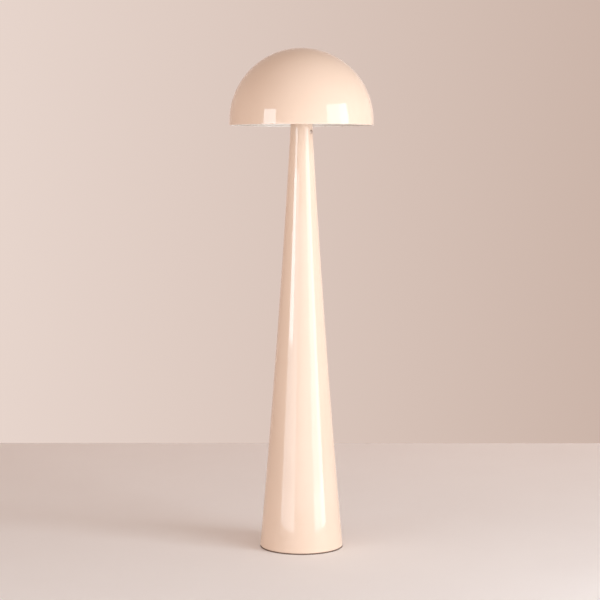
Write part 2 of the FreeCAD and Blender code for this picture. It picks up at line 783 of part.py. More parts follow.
def tube_washers():
    bore = TUBE_DIAMETER / 2 + HOLE_CLEARANCE
    return [
        ring(TUBE_WASHER_DIAMETER / 2, bore, z, TUBE_WASHER_THICKNESS)
        for z in (LOWER_WASHER_Z, SEAT_TOP_Z)
    ]


def tube_nuts():
    bore = TUBE_DIAMETER + 2 * THREAD_GAP
    return [
        hex_nut(TUBE_NUT_FLATS, TUBE_NUT_THICKNESS, bore, z)
        for z in (LOWER_NUT_Z, TOP_NUT_Z)
    ]


def lampholder_cap():
    """The lampholder's foot: a tapped collar that swells to the full diameter."""
    outer = HOLDER_DIAMETER / 2
    inner = outer - HOLDER_WALL
    collar = HOLDER_COLLAR_DIAMETER / 2
    bore = TUBE_DIAMETER / 2 + THREAD_GAP
    shoulder = outer - collar
    floor_z = TUBE_TOP_Z
    centre = (collar, HOLDER_BEND_Z)
    cup = Outline(bore, HOLDER_Z).line(collar, HOLDER_Z).line(collar, floor_z - HOLDER_WALL)
    cup.arc(on_circle(centre, shoulder, -45), (outer, HOLDER_BEND_Z))
    cup.line(outer, SKIRT_Z).line(inner, SKIRT_Z).line(inner, HOLDER_BEND_Z)
    cup.arc(on_circle(centre, shoulder - HOLDER_WALL, -45), (collar, floor_z))
    return cup.line(bore, floor_z).turned()


def lampholder_skirt():
    """The lampholder's sleeve, turned in at the mouth round the bulb's cap."""
    outer = HOLDER_DIAMETER / 2
    inner = outer - HOLDER_WALL
    mouth = HOLDER_MOUTH_DIAMETER / 2
    edge = HOLDER_WALL / 2
    sleeve = Outline(inner, SKIRT_Z).line(outer, SKIRT_Z).line(outer, SKIRT_TOP_Z - edge)
    sleeve.line(outer - edge, SKIRT_TOP_Z).line(mouth, SKIRT_TOP_Z)
    sleeve.line(mouth, SKIRT_TOP_Z - HOLDER_WALL).line(inner, SKIRT_TOP_Z - HOLDER_WALL)
    return sleeve.turned()


def contact_block():
    """The moulded disc inside the lampholder that carries its contacts."""
    radius = HOLDER_DIAMETER / 2 - HOLDER_WALL - SEAT_CLEARANCE / 2
    return Part.makeCylinder(radius, CONTACT_BLOCK_HEIGHT, V(0, 0, CONTACT_BLOCK_Z))


def contact_shell():
    """The brass sleeve that the bulb's cap screws into."""
    inner = BULB_CAP_RADIUS + CONTACT_SHELL_CLEARANCE
    return ring(inner + CONTACT_SHELL_WALL, inner, CONTACT_FACE_Z, CONTACT_SHELL_HEIGHT)


def contact_tongue():
    """A sprung brass strip that rises from the contact block to the bulb's tip."""
    low = CONTACT_FACE_Z + TONGUE_THICKNESS / 2
    high = CONTACT_FACE_Z + TONGUE_RISE - TONGUE_THICKNESS / 2
    pad = TONGUE_PAD_LENGTH / 2
    ramp = pad + TONGUE_RAMP_LENGTH
    return bent_bar([
        V(-ramp - TONGUE_ROOT_LENGTH, 0, low),
        V(-ramp, 0, low),
        V(-pad, 0, high),
        V(pad, 0, high),
    ], TONGUE_THICKNESS, TONGUE_WIDTH, TONGUE_BEND_RADIUS)


# --- bulb ---

def bulb_tip():
    return Part.makeCylinder(BULB_TIP_DIAMETER / 2, BULB_TIP_HEIGHT, V(0, 0, BULB_TIP_Z))


def bulb_insulator_z():
    return BULB_TIP_Z + BULB_TIP_HEIGHT


def bulb_cap_z():
    return bulb_insulator_z() + BULB_INSULATOR_HEIGHT


def bulb_body_z():
    return bulb_cap_z() + BULB_CAP_HEIGHT


def bulb_insulator():
    """The glass cone between the tip and the screw cap."""
    z = bulb_insulator_z()
    cone = Outline(0, z).line(BULB_TIP_DIAMETER / 2, z)
    cone.line(BULB_CAP_RADIUS - BULB_INSULATOR_STEP, z + BULB_INSULATOR_HEIGHT)
    return cone.line(0, z + BULB_INSULATOR_HEIGHT).turned()


def bulb_cap():
    return Part.makeCylinder(BULB_CAP_RADIUS, BULB_CAP_HEIGHT, V(0, 0, bulb_cap_z()))


def bulb_globe_centre_z():
    return BULB_TIP_Z + BULB_LENGTH - BULB_DIAMETER / 2


def bulb_body():
    """The white moulded cone between the screw cap and the globe."""
    z = bulb_body_z()
    mouth = BULB_BODY_MOUTH / 2
    top = z + BULB_BODY_HEIGHT
    neck = BULB_CAP_RADIUS + CONTACT_SHELL_CLEARANCE
    hollow = BULB_BODY_HOLLOW / math.hypot(BULB_BODY_HEIGHT, mouth - neck)
    middle = ((neck + mouth) / 2 - BULB_BODY_HEIGHT * hollow,
              (z + top) / 2 + (mouth - neck) * hollow)
    body = Outline(0, z).line(neck, z).arc(middle, (mouth, top))
    return body.line(0, top).turned()


def bulb_globe():
    """The frosted globe: half a ball on sides that close in gently to the body."""
    foot_z = bulb_body_z() + BULB_BODY_HEIGHT
    centre = (0.0, bulb_globe_centre_z())
    radius = BULB_DIAMETER / 2
    mouth = BULB_BODY_MOUTH / 2
    drop = centre[1] - foot_z
    side_radius = (drop * drop / (radius - mouth) + radius - mouth) / 2
    globe = Outline(0, foot_z).line(mouth, foot_z)
    round_centre_arc(globe, (radius - side_radius, centre[1]), (radius, centre[1]))
    globe.arc(on_circle(centre, radius, 45), (0.0, centre[1] + radius))
    return globe.turned()


# --- shade ---

def shade_shell():
    """Half a sphere on a straight skirt, its edge rolled inwards to a round bead."""
    outer = SHADE_RADIUS
    inner = outer - SHADE_WALL
    bead = RIM_BEAD_DIAMETER / 2
    bead_centre = (outer - bead, RIM_Z + bead)
    across = inner - bead_centre[0]
    bead_top = bead_centre[1] + math.sqrt(bead * bead - across * across)
    dome = (0.0, DOME_CENTRE_Z)
    skin = Outline(outer, bead_centre[1]).line(outer, DOME_CENTRE_Z)
    skin.arc(on_circle(dome, outer, 45), (0.0, DOME_CENTRE_Z + outer))
    skin.line(0.0, DOME_CENTRE_Z + inner)
    skin.arc(on_circle(dome, inner, 45), (inner, DOME_CENTRE_Z))
    skin.line(inner, bead_top)
    skin.arc(on_circle(bead_centre, bead, 130), (bead_centre[0] - bead, bead_centre[1]))
    skin.arc(on_circle(bead_centre, bead, 270), (outer, bead_centre[1]))
    return skin.turned()


def arm_end():
    """Where an arm's tab lies: the weld stud's root on the shade, and the outward direction."""
    reach = SHADE_RADIUS - SHADE_WALL
    lift = math.asin(ARM_END_RISE / reach)
    outward = (math.cos(lift), math.sin(lift))
    return (outward[0] * reach, DOME_CENTRE_Z + outward[1] * reach), outward


def spider_arms():
    """Bent flat bars from the hub to the shade, each ending in a tab with a stud hole."""
    root, outward = arm_end()
    up = (-outward[1], outward[0])
    half = ARM_THICKNESS / 2
    gap = STUD_FLANGE_THICKNESS + half
    tab = (root[0] - outward[0] * gap, root[1] - outward[1] * gap)
    half_tab = ARM_TAB_LENGTH / 2
    start = HUB_BORE_RADIUS + HUB_WIDTH - ARM_WELD_LENGTH
    bar = bent_bar([
        V(start, 0, ARM_Z + half),
        V(HUB_RADIUS + ARM_BEND_RADIUS, 0, ARM_Z + half),
        V(tab[0] - up[0] * half_tab, 0, tab[1] - up[1] * half_tab),
        V(tab[0] + up[0] * half_tab, 0, tab[1] + up[1] * half_tab),
    ], ARM_THICKNESS, ARM_WIDTH, ARM_BEND_RADIUS)
    hole = Part.makeCylinder(STUD_DIAMETER / 2 + HOLE_CLEARANCE, 4 * ARM_THICKNESS)
    bar = bar.cut(facing(hole, V(root[0], 0, root[1]), V(-outward[0], 0, -outward[1])))
    return around(bar, ARM_COUNT, ARM_FIRST_BEARING)


def spider_hub():
    return ring(HUB_RADIUS, HUB_BORE_RADIUS, HUB_Z, HUB_THICKNESS)


def at_arm_ends(shape):
    """Copies of a shape made along +Z, turned to point inwards from each stud's root."""
    root, outward = arm_end()
    placed = facing(shape, V(root[0], 0, root[1]), V(-outward[0], 0, -outward[1]))
    return around(placed, ARM_COUNT, ARM_FIRST_BEARING)


def shade_studs():
    """Studs welded to the inside of the shade, so that nothing shows outside."""
    flange = STUD_FLANGE / 2
    shank = STUD_DIAMETER / 2
    sink = flange * flange / (2 * SHADE_RADIUS)
    stud = Outline(0, sink).line(flange, sink).line(flange, STUD_FLANGE_THICKNESS)
    stud.line(shank, STUD_FLANGE_THICKNESS).line(shank, STUD_LENGTH).line(0, STUD_LENGTH)
    return at_arm_ends(stud.turned())


def stud_washers():
    washer = ring(STUD_WASHER_DIAMETER / 2, STUD_DIAMETER / 2 + HOLE_CLEARANCE,
                  STUD_FLANGE_THICKNESS + ARM_THICKNESS, STUD_WASHER_THICKNESS)
    return at_arm_ends(washer)


def stud_nuts():
    z = STUD_FLANGE_THICKNESS + ARM_THICKNESS + STUD_WASHER_THICKNESS
    bore = STUD_DIAMETER + 2 * THREAD_GAP
    return at_arm_ends(hex_nut(STUD_NUT_FLATS, STUD_NUT_THICKNESS, bore, z))


# --- push button switch ---

def on_switch(shape):
    """Turn a shape made along +Z, its z = 0 at the neck's surface, onto the switch's axis."""
    return facing(shape, switch_seat(), switch_direction())


def switch_body():
    """Bezel, barrel and housing in one turned piece, bored for the button."""
    bezel = SWITCH_BEZEL_DIAMETER / 2
    barrel = SWITCH_BARREL_DIAMETER / 2
    housing = SWITCH_HOUSING_DIAMETER / 2
    back = -SWITCH_BARREL_LENGTH - SWITCH_HOUSING_LENGTH
    front = SWITCH_BEZEL_THICKNESS
    body = Outline(0, back).line(housing, back).line(housing, -SWITCH_BARREL_LENGTH)
    body.line(barrel, -SWITCH_BARREL_LENGTH).line(barrel, 0).line(bezel, 0)
    body.line(bezel, front - SWITCH_EDGE)
    round_centre_arc(body, (bezel - SWITCH_EDGE, front - SWITCH_EDGE), (bezel - SWITCH_EDGE, front))
    bore = BUTTON_DIAMETER / 2
    floor = front + BUTTON_PROUD - BUTTON_LENGTH - BUTTON_TRAVEL - BUTTON_END_GAP
    body.line(bore, front).line(bore, floor).line(0, floor)
    return on_switch(body.turned())


def switch_button():
    """The button stands proud of the bezel and is pressed straight in."""
    radius = BUTTON_DIAMETER / 2 - BUTTON_RUNNING_GAP
    front = SWITCH_BEZEL_THICKNESS + BUTTON_PROUD
    back = front - BUTTON_LENGTH
    button = Outline(0, back).line(radius, back).line(radius, front - SWITCH_EDGE)
    round_centre_arc(button, (radius - SWITCH_EDGE, front - SWITCH_EDGE), (radius - SWITCH_EDGE, front))
    return on_switch(button.line(0, front).turned())


def switch_nut():
    """The nut behind the neck's wall."""
    seat = column_radius(SWITCH_Z - SWITCH_BEZEL_DIAMETER / 2)
    corner = SWITCH_NUT_FLATS / math.sqrt(3)
    inner = column_radius(SWITCH_Z + corner, COLUMN_WALL)
    face = seat - math.sqrt(inner * inner - corner * corner)
    bore = SWITCH_BARREL_DIAMETER + 2 * THREAD_GAP
    nut = hex_nut(SWITCH_NUT_FLATS, SWITCH_NUT_THICKNESS, bore, -face - SWITCH_NUT_THICKNESS)
    return on_switch(nut)


def switch_tags():
    """Two solder blades on the back of the switch."""
    corner = V(switch_back() - TAG_LENGTH, -TAG_THICKNESS / 2, SWITCH_Z - TAG_HEIGHT / 2)
    tags = []
    for side in (-1, 1):
        blade = Part.makeBox(TAG_LENGTH, TAG_THICKNESS, TAG_HEIGHT,
                             corner + V(0, side * TAG_SPREAD / 2, 0))
        tags.append(blade.rotated(V(0, 0, 0), AXIS, SWITCH_BEARING))
    return tags


PIECES = {
    "column_shell": column_shell,
    "foot_pad": foot_pad,
    "base_ring": base_ring,
    "base_plate": base_plate,
    "base_screws": lambda: base_screws(countersunk_screw(M5_DIAMETER, base_screw_length())),
    "ballast": ballast,
    "ballast_screws": lambda: ballast_screws(
        countersunk_screw(M6_DIAMETER, ballast_screw_length() - SCREW_END_GAP)),
    "cable_gland": cable_gland,
    "gland_nut": gland_nut,
    "terminal_block": terminal_block,
    "terminal_screws": terminal_screws,
    "block_screws": lambda: block_screws(
        cheese_screw(M3_DIAMETER, BALLAST_THICKNESS / 2 + BLOCK_HEIGHT / 3)),
    "riser_lead": riser_lead,
    "live_wire": live_wire,
    "switched_wire": switched_wire,
    "neutral_wire": neutral_wire,
    "neck_bush": neck_bush,
    "shade_seat": shade_seat,
    "seat_screws": lambda: seat_screws(
        countersunk_screw(M4_DIAMETER, seat_screw_length() - SCREW_END_GAP)),
    "seat_gasket": seat_gasket,
    "threaded_tube": threaded_tube,
    "tube_washers": tube_washers,
    "tube_nuts": tube_nuts,
    "lampholder_cap": lampholder_cap,
    "lampholder_skirt": lampholder_skirt,
    "contact_block": contact_block,
    "contact_shell": contact_shell,
    "contact_tongue": contact_tongue,
    "bulb_tip": bulb_tip,
    "bulb_insulator": bulb_insulator,
    "bulb_cap": bulb_cap,
    "bulb_body": bulb_body,
    "bulb_globe": bulb_globe,
    "shade_shell": shade_shell,
    "spider_hub": spider_hub,
    "spider_arms": spider_arms,
    "shade_studs": shade_studs,
    "stud_washers": stud_washers,
    "stud_nuts": stud_nuts,
    "switch_body": switch_body,
    "switch_button": switch_button,
    "switch_nut": switch_nut,
    "switch_tags": switch_tags,
}

os.makedirs("parts", exist_ok=True)
for name, make in PIECES.items():
    made = make()
    solid = Part.makeCompound(made) if isinstance(made, list) else made
    solid.exportStep("parts/" + name + ".step")
    print(name, len(solid.Solids), round(solid.Volume, 1), solid.isValid())
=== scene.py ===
import math

import bmesh
import bpy
from mathutils import Matrix, Vector


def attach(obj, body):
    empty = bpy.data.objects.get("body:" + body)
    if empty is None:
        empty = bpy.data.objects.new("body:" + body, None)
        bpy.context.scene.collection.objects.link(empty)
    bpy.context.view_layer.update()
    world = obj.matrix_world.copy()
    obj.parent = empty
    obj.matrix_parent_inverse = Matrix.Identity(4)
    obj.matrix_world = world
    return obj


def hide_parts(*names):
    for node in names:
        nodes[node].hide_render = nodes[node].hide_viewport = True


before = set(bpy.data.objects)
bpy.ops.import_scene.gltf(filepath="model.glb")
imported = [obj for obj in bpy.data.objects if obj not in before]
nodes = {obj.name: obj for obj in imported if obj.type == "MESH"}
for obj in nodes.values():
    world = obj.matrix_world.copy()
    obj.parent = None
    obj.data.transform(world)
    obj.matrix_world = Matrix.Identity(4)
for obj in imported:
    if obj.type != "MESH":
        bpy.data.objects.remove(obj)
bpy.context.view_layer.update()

# --- foot pad ---
# The lamp stands on a thin disc of closed-cell foam rubber, cut with a knife and glued
# under the lip and the base plate. Only its dark edge shows, as a line on the floor.

PAD_BROWN = "#5E483B"
PAD_CELL_PALE = "#7A6353"
FOAM_CELL = 0.0008


def linear(hex_colour):
    """An sRGB hex colour as the linear values that a shader takes."""
    channels = [int(hex_colour[start:start + 2], 16) / 255 for start in (1, 3, 5)]
    return [c / 12.92 if c <= 0.04045 else ((c + 0.055) / 1.055) ** 2.4 for c in channels] + [1.0]


def wire(tree, node, sockets):
    """Give inputs, by name or number, a value or a link from a node's first output or a socket."""
    for key, value in sockets.items():
        if isinstance(key, int):
            socket = node.inputs[key]
        else:
            socket = next(s for s in node.inputs if s.name == key and s.enabled)
        if isinstance(value, bpy.types.Node):
            value = next(s for s in value.outputs if s.enabled)
        if isinstance(value, bpy.types.NodeSocket):
            tree.links.new(value, socket)
        else:
            socket.default_value = value


def add_node(tree, kind, sockets=None, **settings):
    """Add a node with its settings and its links."""
    node = tree.nodes.new(kind)
    for name, value in settings.items():
        setattr(node, name, value)
    wire(tree, node, sockets or {})
    return node


def start_material(name):
    """A new material: its tree, its shader and the object coordinates that patterns follow."""
    material = bpy.data.materials.new(name)
    material.use_nodes = True
    tree = material.node_tree
    tree.nodes.clear()
    shader = add_node(tree, "ShaderNodeBsdfPrincipled")
    add_node(tree, "ShaderNodeOutputMaterial", {"Surface": shader})
    place = add_node(tree, "ShaderNodeTexCoord").outputs["Object"]
    return material, tree, shader, place


def finish_nodes(material, *names):
    """Put a material on CAD nodes that keep their own shape."""
    for name in names:
        for slot in nodes[name].material_slots:
            slot.material = material


# Foam rubber, skived: cut cells make it dull and speckled, with no gloss at all.
foam, tree, shader, place = start_material("Closed-cell foam rubber, cut")
cells = add_node(tree, "ShaderNodeTexVoronoi", {"Vector": place, "Scale": 1 / FOAM_CELL})
speckle = add_node(tree, "ShaderNodeMix", {
    "Factor": cells, "A": linear(PAD_BROWN), "B": linear(PAD_CELL_PALE),
}, data_type="RGBA")
dents = add_node(tree, "ShaderNodeBump", {"Height": cells, "Strength": 0.6, "Distance": 0.0002})
wire(tree, shader, {"Base Color": speckle, "Roughness": 0.9, "Normal": dents})
finish_nodes(foam, "foot_pad")

# --- base plate and its ring ---
# A pressed steel disc closes the foot, screwed up into a ring that is welded inside the
# flare. Both are zinc plated, as are the screws, and the foam pad hides their undersides.

ZINC_COOL = "#B9BDC2"
ZINC_WARM = "#C2BCAD"
ZINC_CLOUD = 0.009
ZINC_GRAIN = 0.0006

# Bright zinc with clear passivation: grey metal with faint blue and straw clouds, and a
# fine rolled grain that keeps its reflections soft.
zinc, tree, shader, place = start_material("Steel, bright zinc plated")
clouds = add_node(tree, "ShaderNodeTexNoise", {
    "Vector": place, "Scale": 1 / ZINC_CLOUD, "Detail": 2.0})
tint = add_node(tree, "ShaderNodeMix", {
    "Factor": clouds, "A": linear(ZINC_COOL), "B": linear(ZINC_WARM),
}, data_type="RGBA")
grain = add_node(tree, "ShaderNodeTexNoise", {
    "Vector": place, "Scale": 1 / ZINC_GRAIN, "Detail": 2.0})
haze = add_node(tree, "ShaderNodeMapRange", {"Value": clouds, "To Min": 0.26, "To Max": 0.42})
rolled = add_node(tree, "ShaderNodeBump", {"Height": grain, "Strength": 0.25, "Distance": 0.00001})
wire(tree, shader, {"Base Color": tint, "Metallic": 1.0, "Roughness": haze, "Normal": rolled})
finish_nodes(zinc, "base_plate", "base_ring", "base_screws")

# --- ballast ---
# A cast-iron disc, turned only on its edges and dipped in black paint, is screwed to the
# base plate so that the tall lamp stands firm.

IRON_BLACK = "#232325"
IRON_WORN = "#3A3937"
SAND_GRIT = 0.0014

# Black dipping paint over sand-cast iron: semi-matt, pitted by the mould's sand, and
# paler where the paint is thin on the high grains.
cast_iron, tree, shader, place = start_material("Cast iron, black dipped")
sand = add_node(tree, "ShaderNodeTexNoise", {
    "Vector": place, "Scale": 1 / SAND_GRIT, "Detail": 4.0})
thin = add_node(tree, "ShaderNodeMapRange", {"Value": sand, "From Min": 0.5, "From Max": 0.75})
paint = add_node(tree, "ShaderNodeMix", {
    "Factor": thin, "A": linear(IRON_BLACK), "B": linear(IRON_WORN),
}, data_type="RGBA")
pits = add_node(tree, "ShaderNodeBump", {"Height": sand, "Strength": 0.8, "Distance": 0.00025})
wire(tree, shader, {"Base Color": paint, "Roughness": 0.55, "Normal": pits})
finish_nodes(cast_iron, "ballast")
finish_nodes(zinc, "ballast_screws")

# --- column ---
# One skin of sheet steel, spun and rolled to a hollow flare that runs into a straight
# neck, with its foot turned in under the lamp, then stove enamelled in a high gloss.

BASE_RADIUS = 0.1255
NECK_RADIUS = 0.0333
FOOT_Z = 0.003
FLARE_TOP_Z = 1.255
NECK_TOP_Z = 1.290
FLARE_SAG = 0.005
BLEND_RADIUS = 0.480
LIP_RADIUS = 0.003
LIP_FLANGE = 0.0105
COLUMN_WALL = 0.0012
SWITCH_Z = 1.252
SWITCH_BEARING = math.radians(-32)
SWITCH_HOLE = 0.0104
DRILL_LENGTH, DRILL_SET_BACK = 0.05, 0.02
INLET_Z = 0.024
INLET_HOLE = 0.0134

CREAM = "#EDD2BD"
CREAM_DEEP = "#E9CEB8"
ORANGE_PEEL = 0.0025
PEEL_DEPTH, WAVE_DEPTH = 0.0000025, 0.00004
ENAMEL_GLOSSIEST, ENAMEL_DULLEST = 0.03, 0.07
SPINNING_WAVE = 0.045
FLOW_PATCH = 0.12

# A lathe: an outline of radius along X and height along Z goes once round the axis. Where
# the outline's relief is above 0, a thread or ribs are cut into the turned wall.
turned_tree = bpy.data.node_groups.new("Turned piece", "GeometryNodeTree")
turned_inputs = {
    title: turned_tree.interface.new_socket(title, in_out="INPUT", socket_type=kind).identifier
    for title, kind in (
        ("Outline", "NodeSocketGeometry"), ("Steps", "NodeSocketInt"),
        ("Thread pitch", "NodeSocketFloat"), ("Thread depth", "NodeSocketFloat"),
        ("Ribs", "NodeSocketInt"), ("Rib depth", "NodeSocketFloat"),
        ("Finish", "NodeSocketMaterial"),
    )
}
turned_tree.interface.new_socket("Turned", in_out="OUTPUT", socket_type="NodeSocketGeometry")
tree = turned_tree
asked = add_node(tree, "NodeGroupInput").outputs
corners = add_node(tree, "GeometryNodeAttributeDomainSize", {
    "Geometry": asked["Outline"]}).outputs["Point Count"]
columns = add_node(tree, "ShaderNodeMath", {0: asked["Steps"], 1: 1.0}, operation="ADD")
sheet = add_node(tree, "GeometryNodeMeshGrid", {
    "Size X": 1.0, "Size Y": 1.0, "Vertices X": columns, "Vertices Y": corners,
}).outputs["Mesh"]
across = add_node(tree, "ShaderNodeSeparateXYZ", {
    "Vector": add_node(tree, "GeometryNodeInputPosition")}).outputs
turn = add_node(tree, "ShaderNodeMath", {0: across["X"], 1: 0.5}, operation="ADD")
angle = add_node(tree, "ShaderNodeMath", {0: turn, 1: math.tau}, operation="MULTIPLY")
share = add_node(tree, "ShaderNodeMath", {0: across["Y"], 1: 0.5}, operation="ADD")
last = add_node(tree, "ShaderNodeMath", {0: corners, 1: 1.0}, operation="SUBTRACT")
scaled = add_node(tree, "ShaderNodeMath", {0: share, 1: last}, operation="MULTIPLY")
row = add_node(tree, "ShaderNodeMath", {0: scaled}, operation="ROUND")
spot = add_node(tree, "GeometryNodeSampleIndex", {
    "Geometry": asked["Outline"],
    "Value": add_node(tree, "GeometryNodeInputPosition"), "Index": row,
}, data_type="FLOAT_VECTOR")
relief_name = add_node(tree, "GeometryNodeInputNamedAttribute", {
    "Name": "relief"}, data_type="FLOAT")
relief = add_node(tree, "GeometryNodeSampleIndex", {
    "Geometry": asked["Outline"], "Value": relief_name, "Index": row,
}, data_type="FLOAT")
drawn = add_node(tree, "ShaderNodeSeparateXYZ", {"Vector": spot}).outputs
climb = add_node(tree, "ShaderNodeMath", {0: drawn["Z"], 1: math.tau}, operation="MULTIPLY")
pitches = add_node(tree, "ShaderNodeMath", {0: climb, 1: asked["Thread pitch"]}, operation="DIVIDE")
helix = add_node(tree, "ShaderNodeMath", {0: pitches, 1: angle}, operation="SUBTRACT")
crest = add_node(tree, "ShaderNodeMath", {0: helix}, operation="SINE")
thread = add_node(tree, "ShaderNodeMath", {
    0: crest, 1: asked["Thread depth"]}, operation="MULTIPLY")
rib_angle = add_node(tree, "ShaderNodeMath", {0: angle, 1: asked["Ribs"]}, operation="MULTIPLY")
rib_wave = add_node(tree, "ShaderNodeMath", {0: rib_angle}, operation="COSINE")
rib = add_node(tree, "ShaderNodeMath", {0: rib_wave, 1: asked["Rib depth"]}, operation="MULTIPLY")
cut = add_node(tree, "ShaderNodeMath", {0: thread, 1: rib}, operation="ADD")
radius = add_node(tree, "ShaderNodeMath", {
    0: cut, 1: relief, 2: drawn["X"]}, operation="MULTIPLY_ADD")
cosine = add_node(tree, "ShaderNodeMath", {0: angle}, operation="COSINE")
sine = add_node(tree, "ShaderNodeMath", {0: angle}, operation="SINE")
turned_place = add_node(tree, "ShaderNodeCombineXYZ", {
    "X": add_node(tree, "ShaderNodeMath", {0: radius, 1: cosine}, operation="MULTIPLY"),
    "Y": add_node(tree, "ShaderNodeMath", {0: radius, 1: sine}, operation="MULTIPLY"),
    "Z": drawn["Z"],
})
wall = add_node(tree, "GeometryNodeSetPosition", {"Geometry": sheet, "Position": turned_place})
closed = add_node(tree, "GeometryNodeMergeByDistance", {"Geometry": wall, "Distance": 0.000001})
realized = add_node(tree, "GeometryNodeRealizeInstances", {"Geometry": closed})
finished = add_node(tree, "GeometryNodeSetMaterial", {
    "Geometry": realized, "Material": asked["Finish"]})
add_node(tree, "NodeGroupOutput", {"Turned": finished})


def baked(piece, sharp_angle=35):
    """Turn a piece's modifiers into its plain mesh, smooth but for its sharp edges."""
    evaluated = piece.evaluated_get(bpy.context.evaluated_depsgraph_get())
    mesh = bpy.data.meshes.new_from_object(evaluated)
    piece.modifiers.clear()
    piece.data = mesh
    mesh.polygons.foreach_set("use_smooth", [True] * len(mesh.polygons))
    mesh.set_sharp_from_angle(angle=math.radians(sharp_angle))
    return piece


def turned(name, outline, finish, steps=96, place=None, **sizes):
    """Turn an outline that goes up its outside; each point is radius, height and any relief."""
    mesh = bpy.data.meshes.new(name)
    mesh.from_pydata(
        [(point[0], 0, point[1]) for point in outline],
        [(index, index + 1) for index in range(len(outline) - 1)], [])
    reliefs = [point[2] if len(point) > 2 else 0.0 for point in outline]
    mesh.attributes.new("relief", "FLOAT", "POINT").data.foreach_set("value", reliefs)
    piece = bpy.data.objects.new(name, mesh)
    bpy.context.scene.collection.objects.link(piece)
    lathe = piece.modifiers.new("Turned piece", "NODES")
    lathe.node_group = turned_tree
    for title, value in {"Steps": steps, "Finish": finish, **sizes}.items():
        lathe[turned_inputs[title.replace("_", " ")]] = value
    baked(piece)
    if place:
        piece.data.transform(place)
    return piece


def arc(centre, radius, start, end, steps):
    """Points on an arc from one angle to another, in degrees, 0 being outwards and 90 up."""
    angles = [math.radians(start + (end - start) * step / steps) for step in range(steps + 1)]
    return [(centre[0] + radius * math.cos(a), centre[1] + radius * math.sin(a)) for a in angles]


def along_axis(origin, direction):
    """Where a piece made along +Z goes when its axis points another way."""
    turned_to = Vector(direction).to_track_quat("Z", "Y").to_matrix().to_4x4()
    return Matrix.Translation(origin) @ turned_to


def dress(piece, body, slot, *replaced):
    """A piece rides on its body and stands for the CAD nodes it replaces; its slot is not used."""
    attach(piece, body)
    if replaced:
        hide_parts(*replaced)


flare_foot = Vector((BASE_RADIUS, FOOT_Z))
flare_head = Vector((NECK_RADIUS, FLARE_TOP_Z))
chord = flare_head - flare_foot
FLARE_RADIUS = (chord.length_squared / 4 + FLARE_SAG ** 2) / (2 * FLARE_SAG)
across_chord = Vector((chord.y, -chord.x)).normalized()
flare_centre = (flare_foot + flare_head) / 2 + across_chord * (FLARE_RADIUS - FLARE_SAG)
blend_x = NECK_RADIUS + BLEND_RADIUS
blend_centre = Vector((blend_x, flare_centre.y - math.sqrt(
    (FLARE_RADIUS - BLEND_RADIUS) ** 2 - (flare_centre.x - blend_x) ** 2)))
blend_start = flare_centre + (blend_centre - flare_centre).normalized() * FLARE_RADIUS
lip_z = FOOT_Z + LIP_RADIUS
lip_centre = Vector((flare_centre.x - math.sqrt(
    (FLARE_RADIUS + LIP_RADIUS) ** 2 - (lip_z - flare_centre.y) ** 2), lip_z))
lip_end = math.degrees(math.atan2(flare_centre.y - lip_centre.y, flare_centre.x - lip_centre.x))


def column_radius(z, inset=0.0):
    """Radius of the column's side at a height, or of a surface that lies inset inside it."""
    if z >= blend_centre.y:
        return NECK_RADIUS - inset
    if z > blend_start.y:
        return blend_centre.x - math.sqrt((BLEND_RADIUS + inset) ** 2 - (z - blend_centre.y) ** 2)
    return flare_centre.x - math.sqrt((FLARE_RADIUS + inset) ** 2 - (z - flare_centre.y) ** 2)


# Fine rows where the holes are cut and where the flare runs into the neck.
side_rows = [0.009, 0.014, 0.019, 0.024, 0.029, 0.034, 0.040, 0.050]
side_rows += [0.06 + 0.02 * step for step in range(55)]
side_rows += [1.15 + 0.005 * step for step in range(28)] + [NECK_TOP_Z]
outer_lip = arc(lip_centre, LIP_RADIUS, -90, lip_end, 12)
inner_lip = arc(lip_centre, LIP_RADIUS - COLUMN_WALL, lip_end, -90, 8)
flange_edge = BASE_RADIUS - LIP_RADIUS - LIP_FLANGE
column_outline = [(flange_edge, FOOT_Z)] + outer_lip + [(column_radius(z), z) for z in side_rows]
column_outline += [(column_radius(z, COLUMN_WALL), z) for z in reversed(side_rows)] + inner_lip
column_outline += [(flange_edge, FOOT_Z + COLUMN_WALL), (flange_edge, FOOT_Z)]

# Stoving enamel over primed steel: a warm cream in a high gloss. It mirrors the lamps as
# sharp-edged bands that its orange peel and the sheet's slight waves break up a little.
enamel, tree, shader, place = start_material("Stoving enamel, high-gloss cream")
patch = add_node(tree, "ShaderNodeTexNoise", {
    "Vector": place, "Scale": 1 / FLOW_PATCH, "Detail": 2.0})
cream = add_node(tree, "ShaderNodeMix", {
    "Factor": patch, "A": linear(CREAM), "B": linear(CREAM_DEEP),
}, data_type="RGBA")
gloss = add_node(tree, "ShaderNodeMapRange", {
    "Value": patch, "To Min": ENAMEL_GLOSSIEST, "To Max": ENAMEL_DULLEST})
peel = add_node(tree, "ShaderNodeTexNoise", {
    "Vector": place, "Scale": 1 / ORANGE_PEEL, "Detail": 1.0})
wave = add_node(tree, "ShaderNodeTexNoise", {
    "Vector": place, "Scale": 1 / SPINNING_WAVE, "Detail": 1.0})
waves = add_node(tree, "ShaderNodeBump", {"Height": wave, "Strength": 1.0, "Distance": WAVE_DEPTH})
peeled = add_node(tree, "ShaderNodeBump", {
    "Height": peel, "Strength": 1.0, "Distance": PEEL_DEPTH, "Normal": waves})
wire(tree, shader, {"Base Color": cream, "Roughness": gloss, "IOR": 1.5, "Normal": peeled})

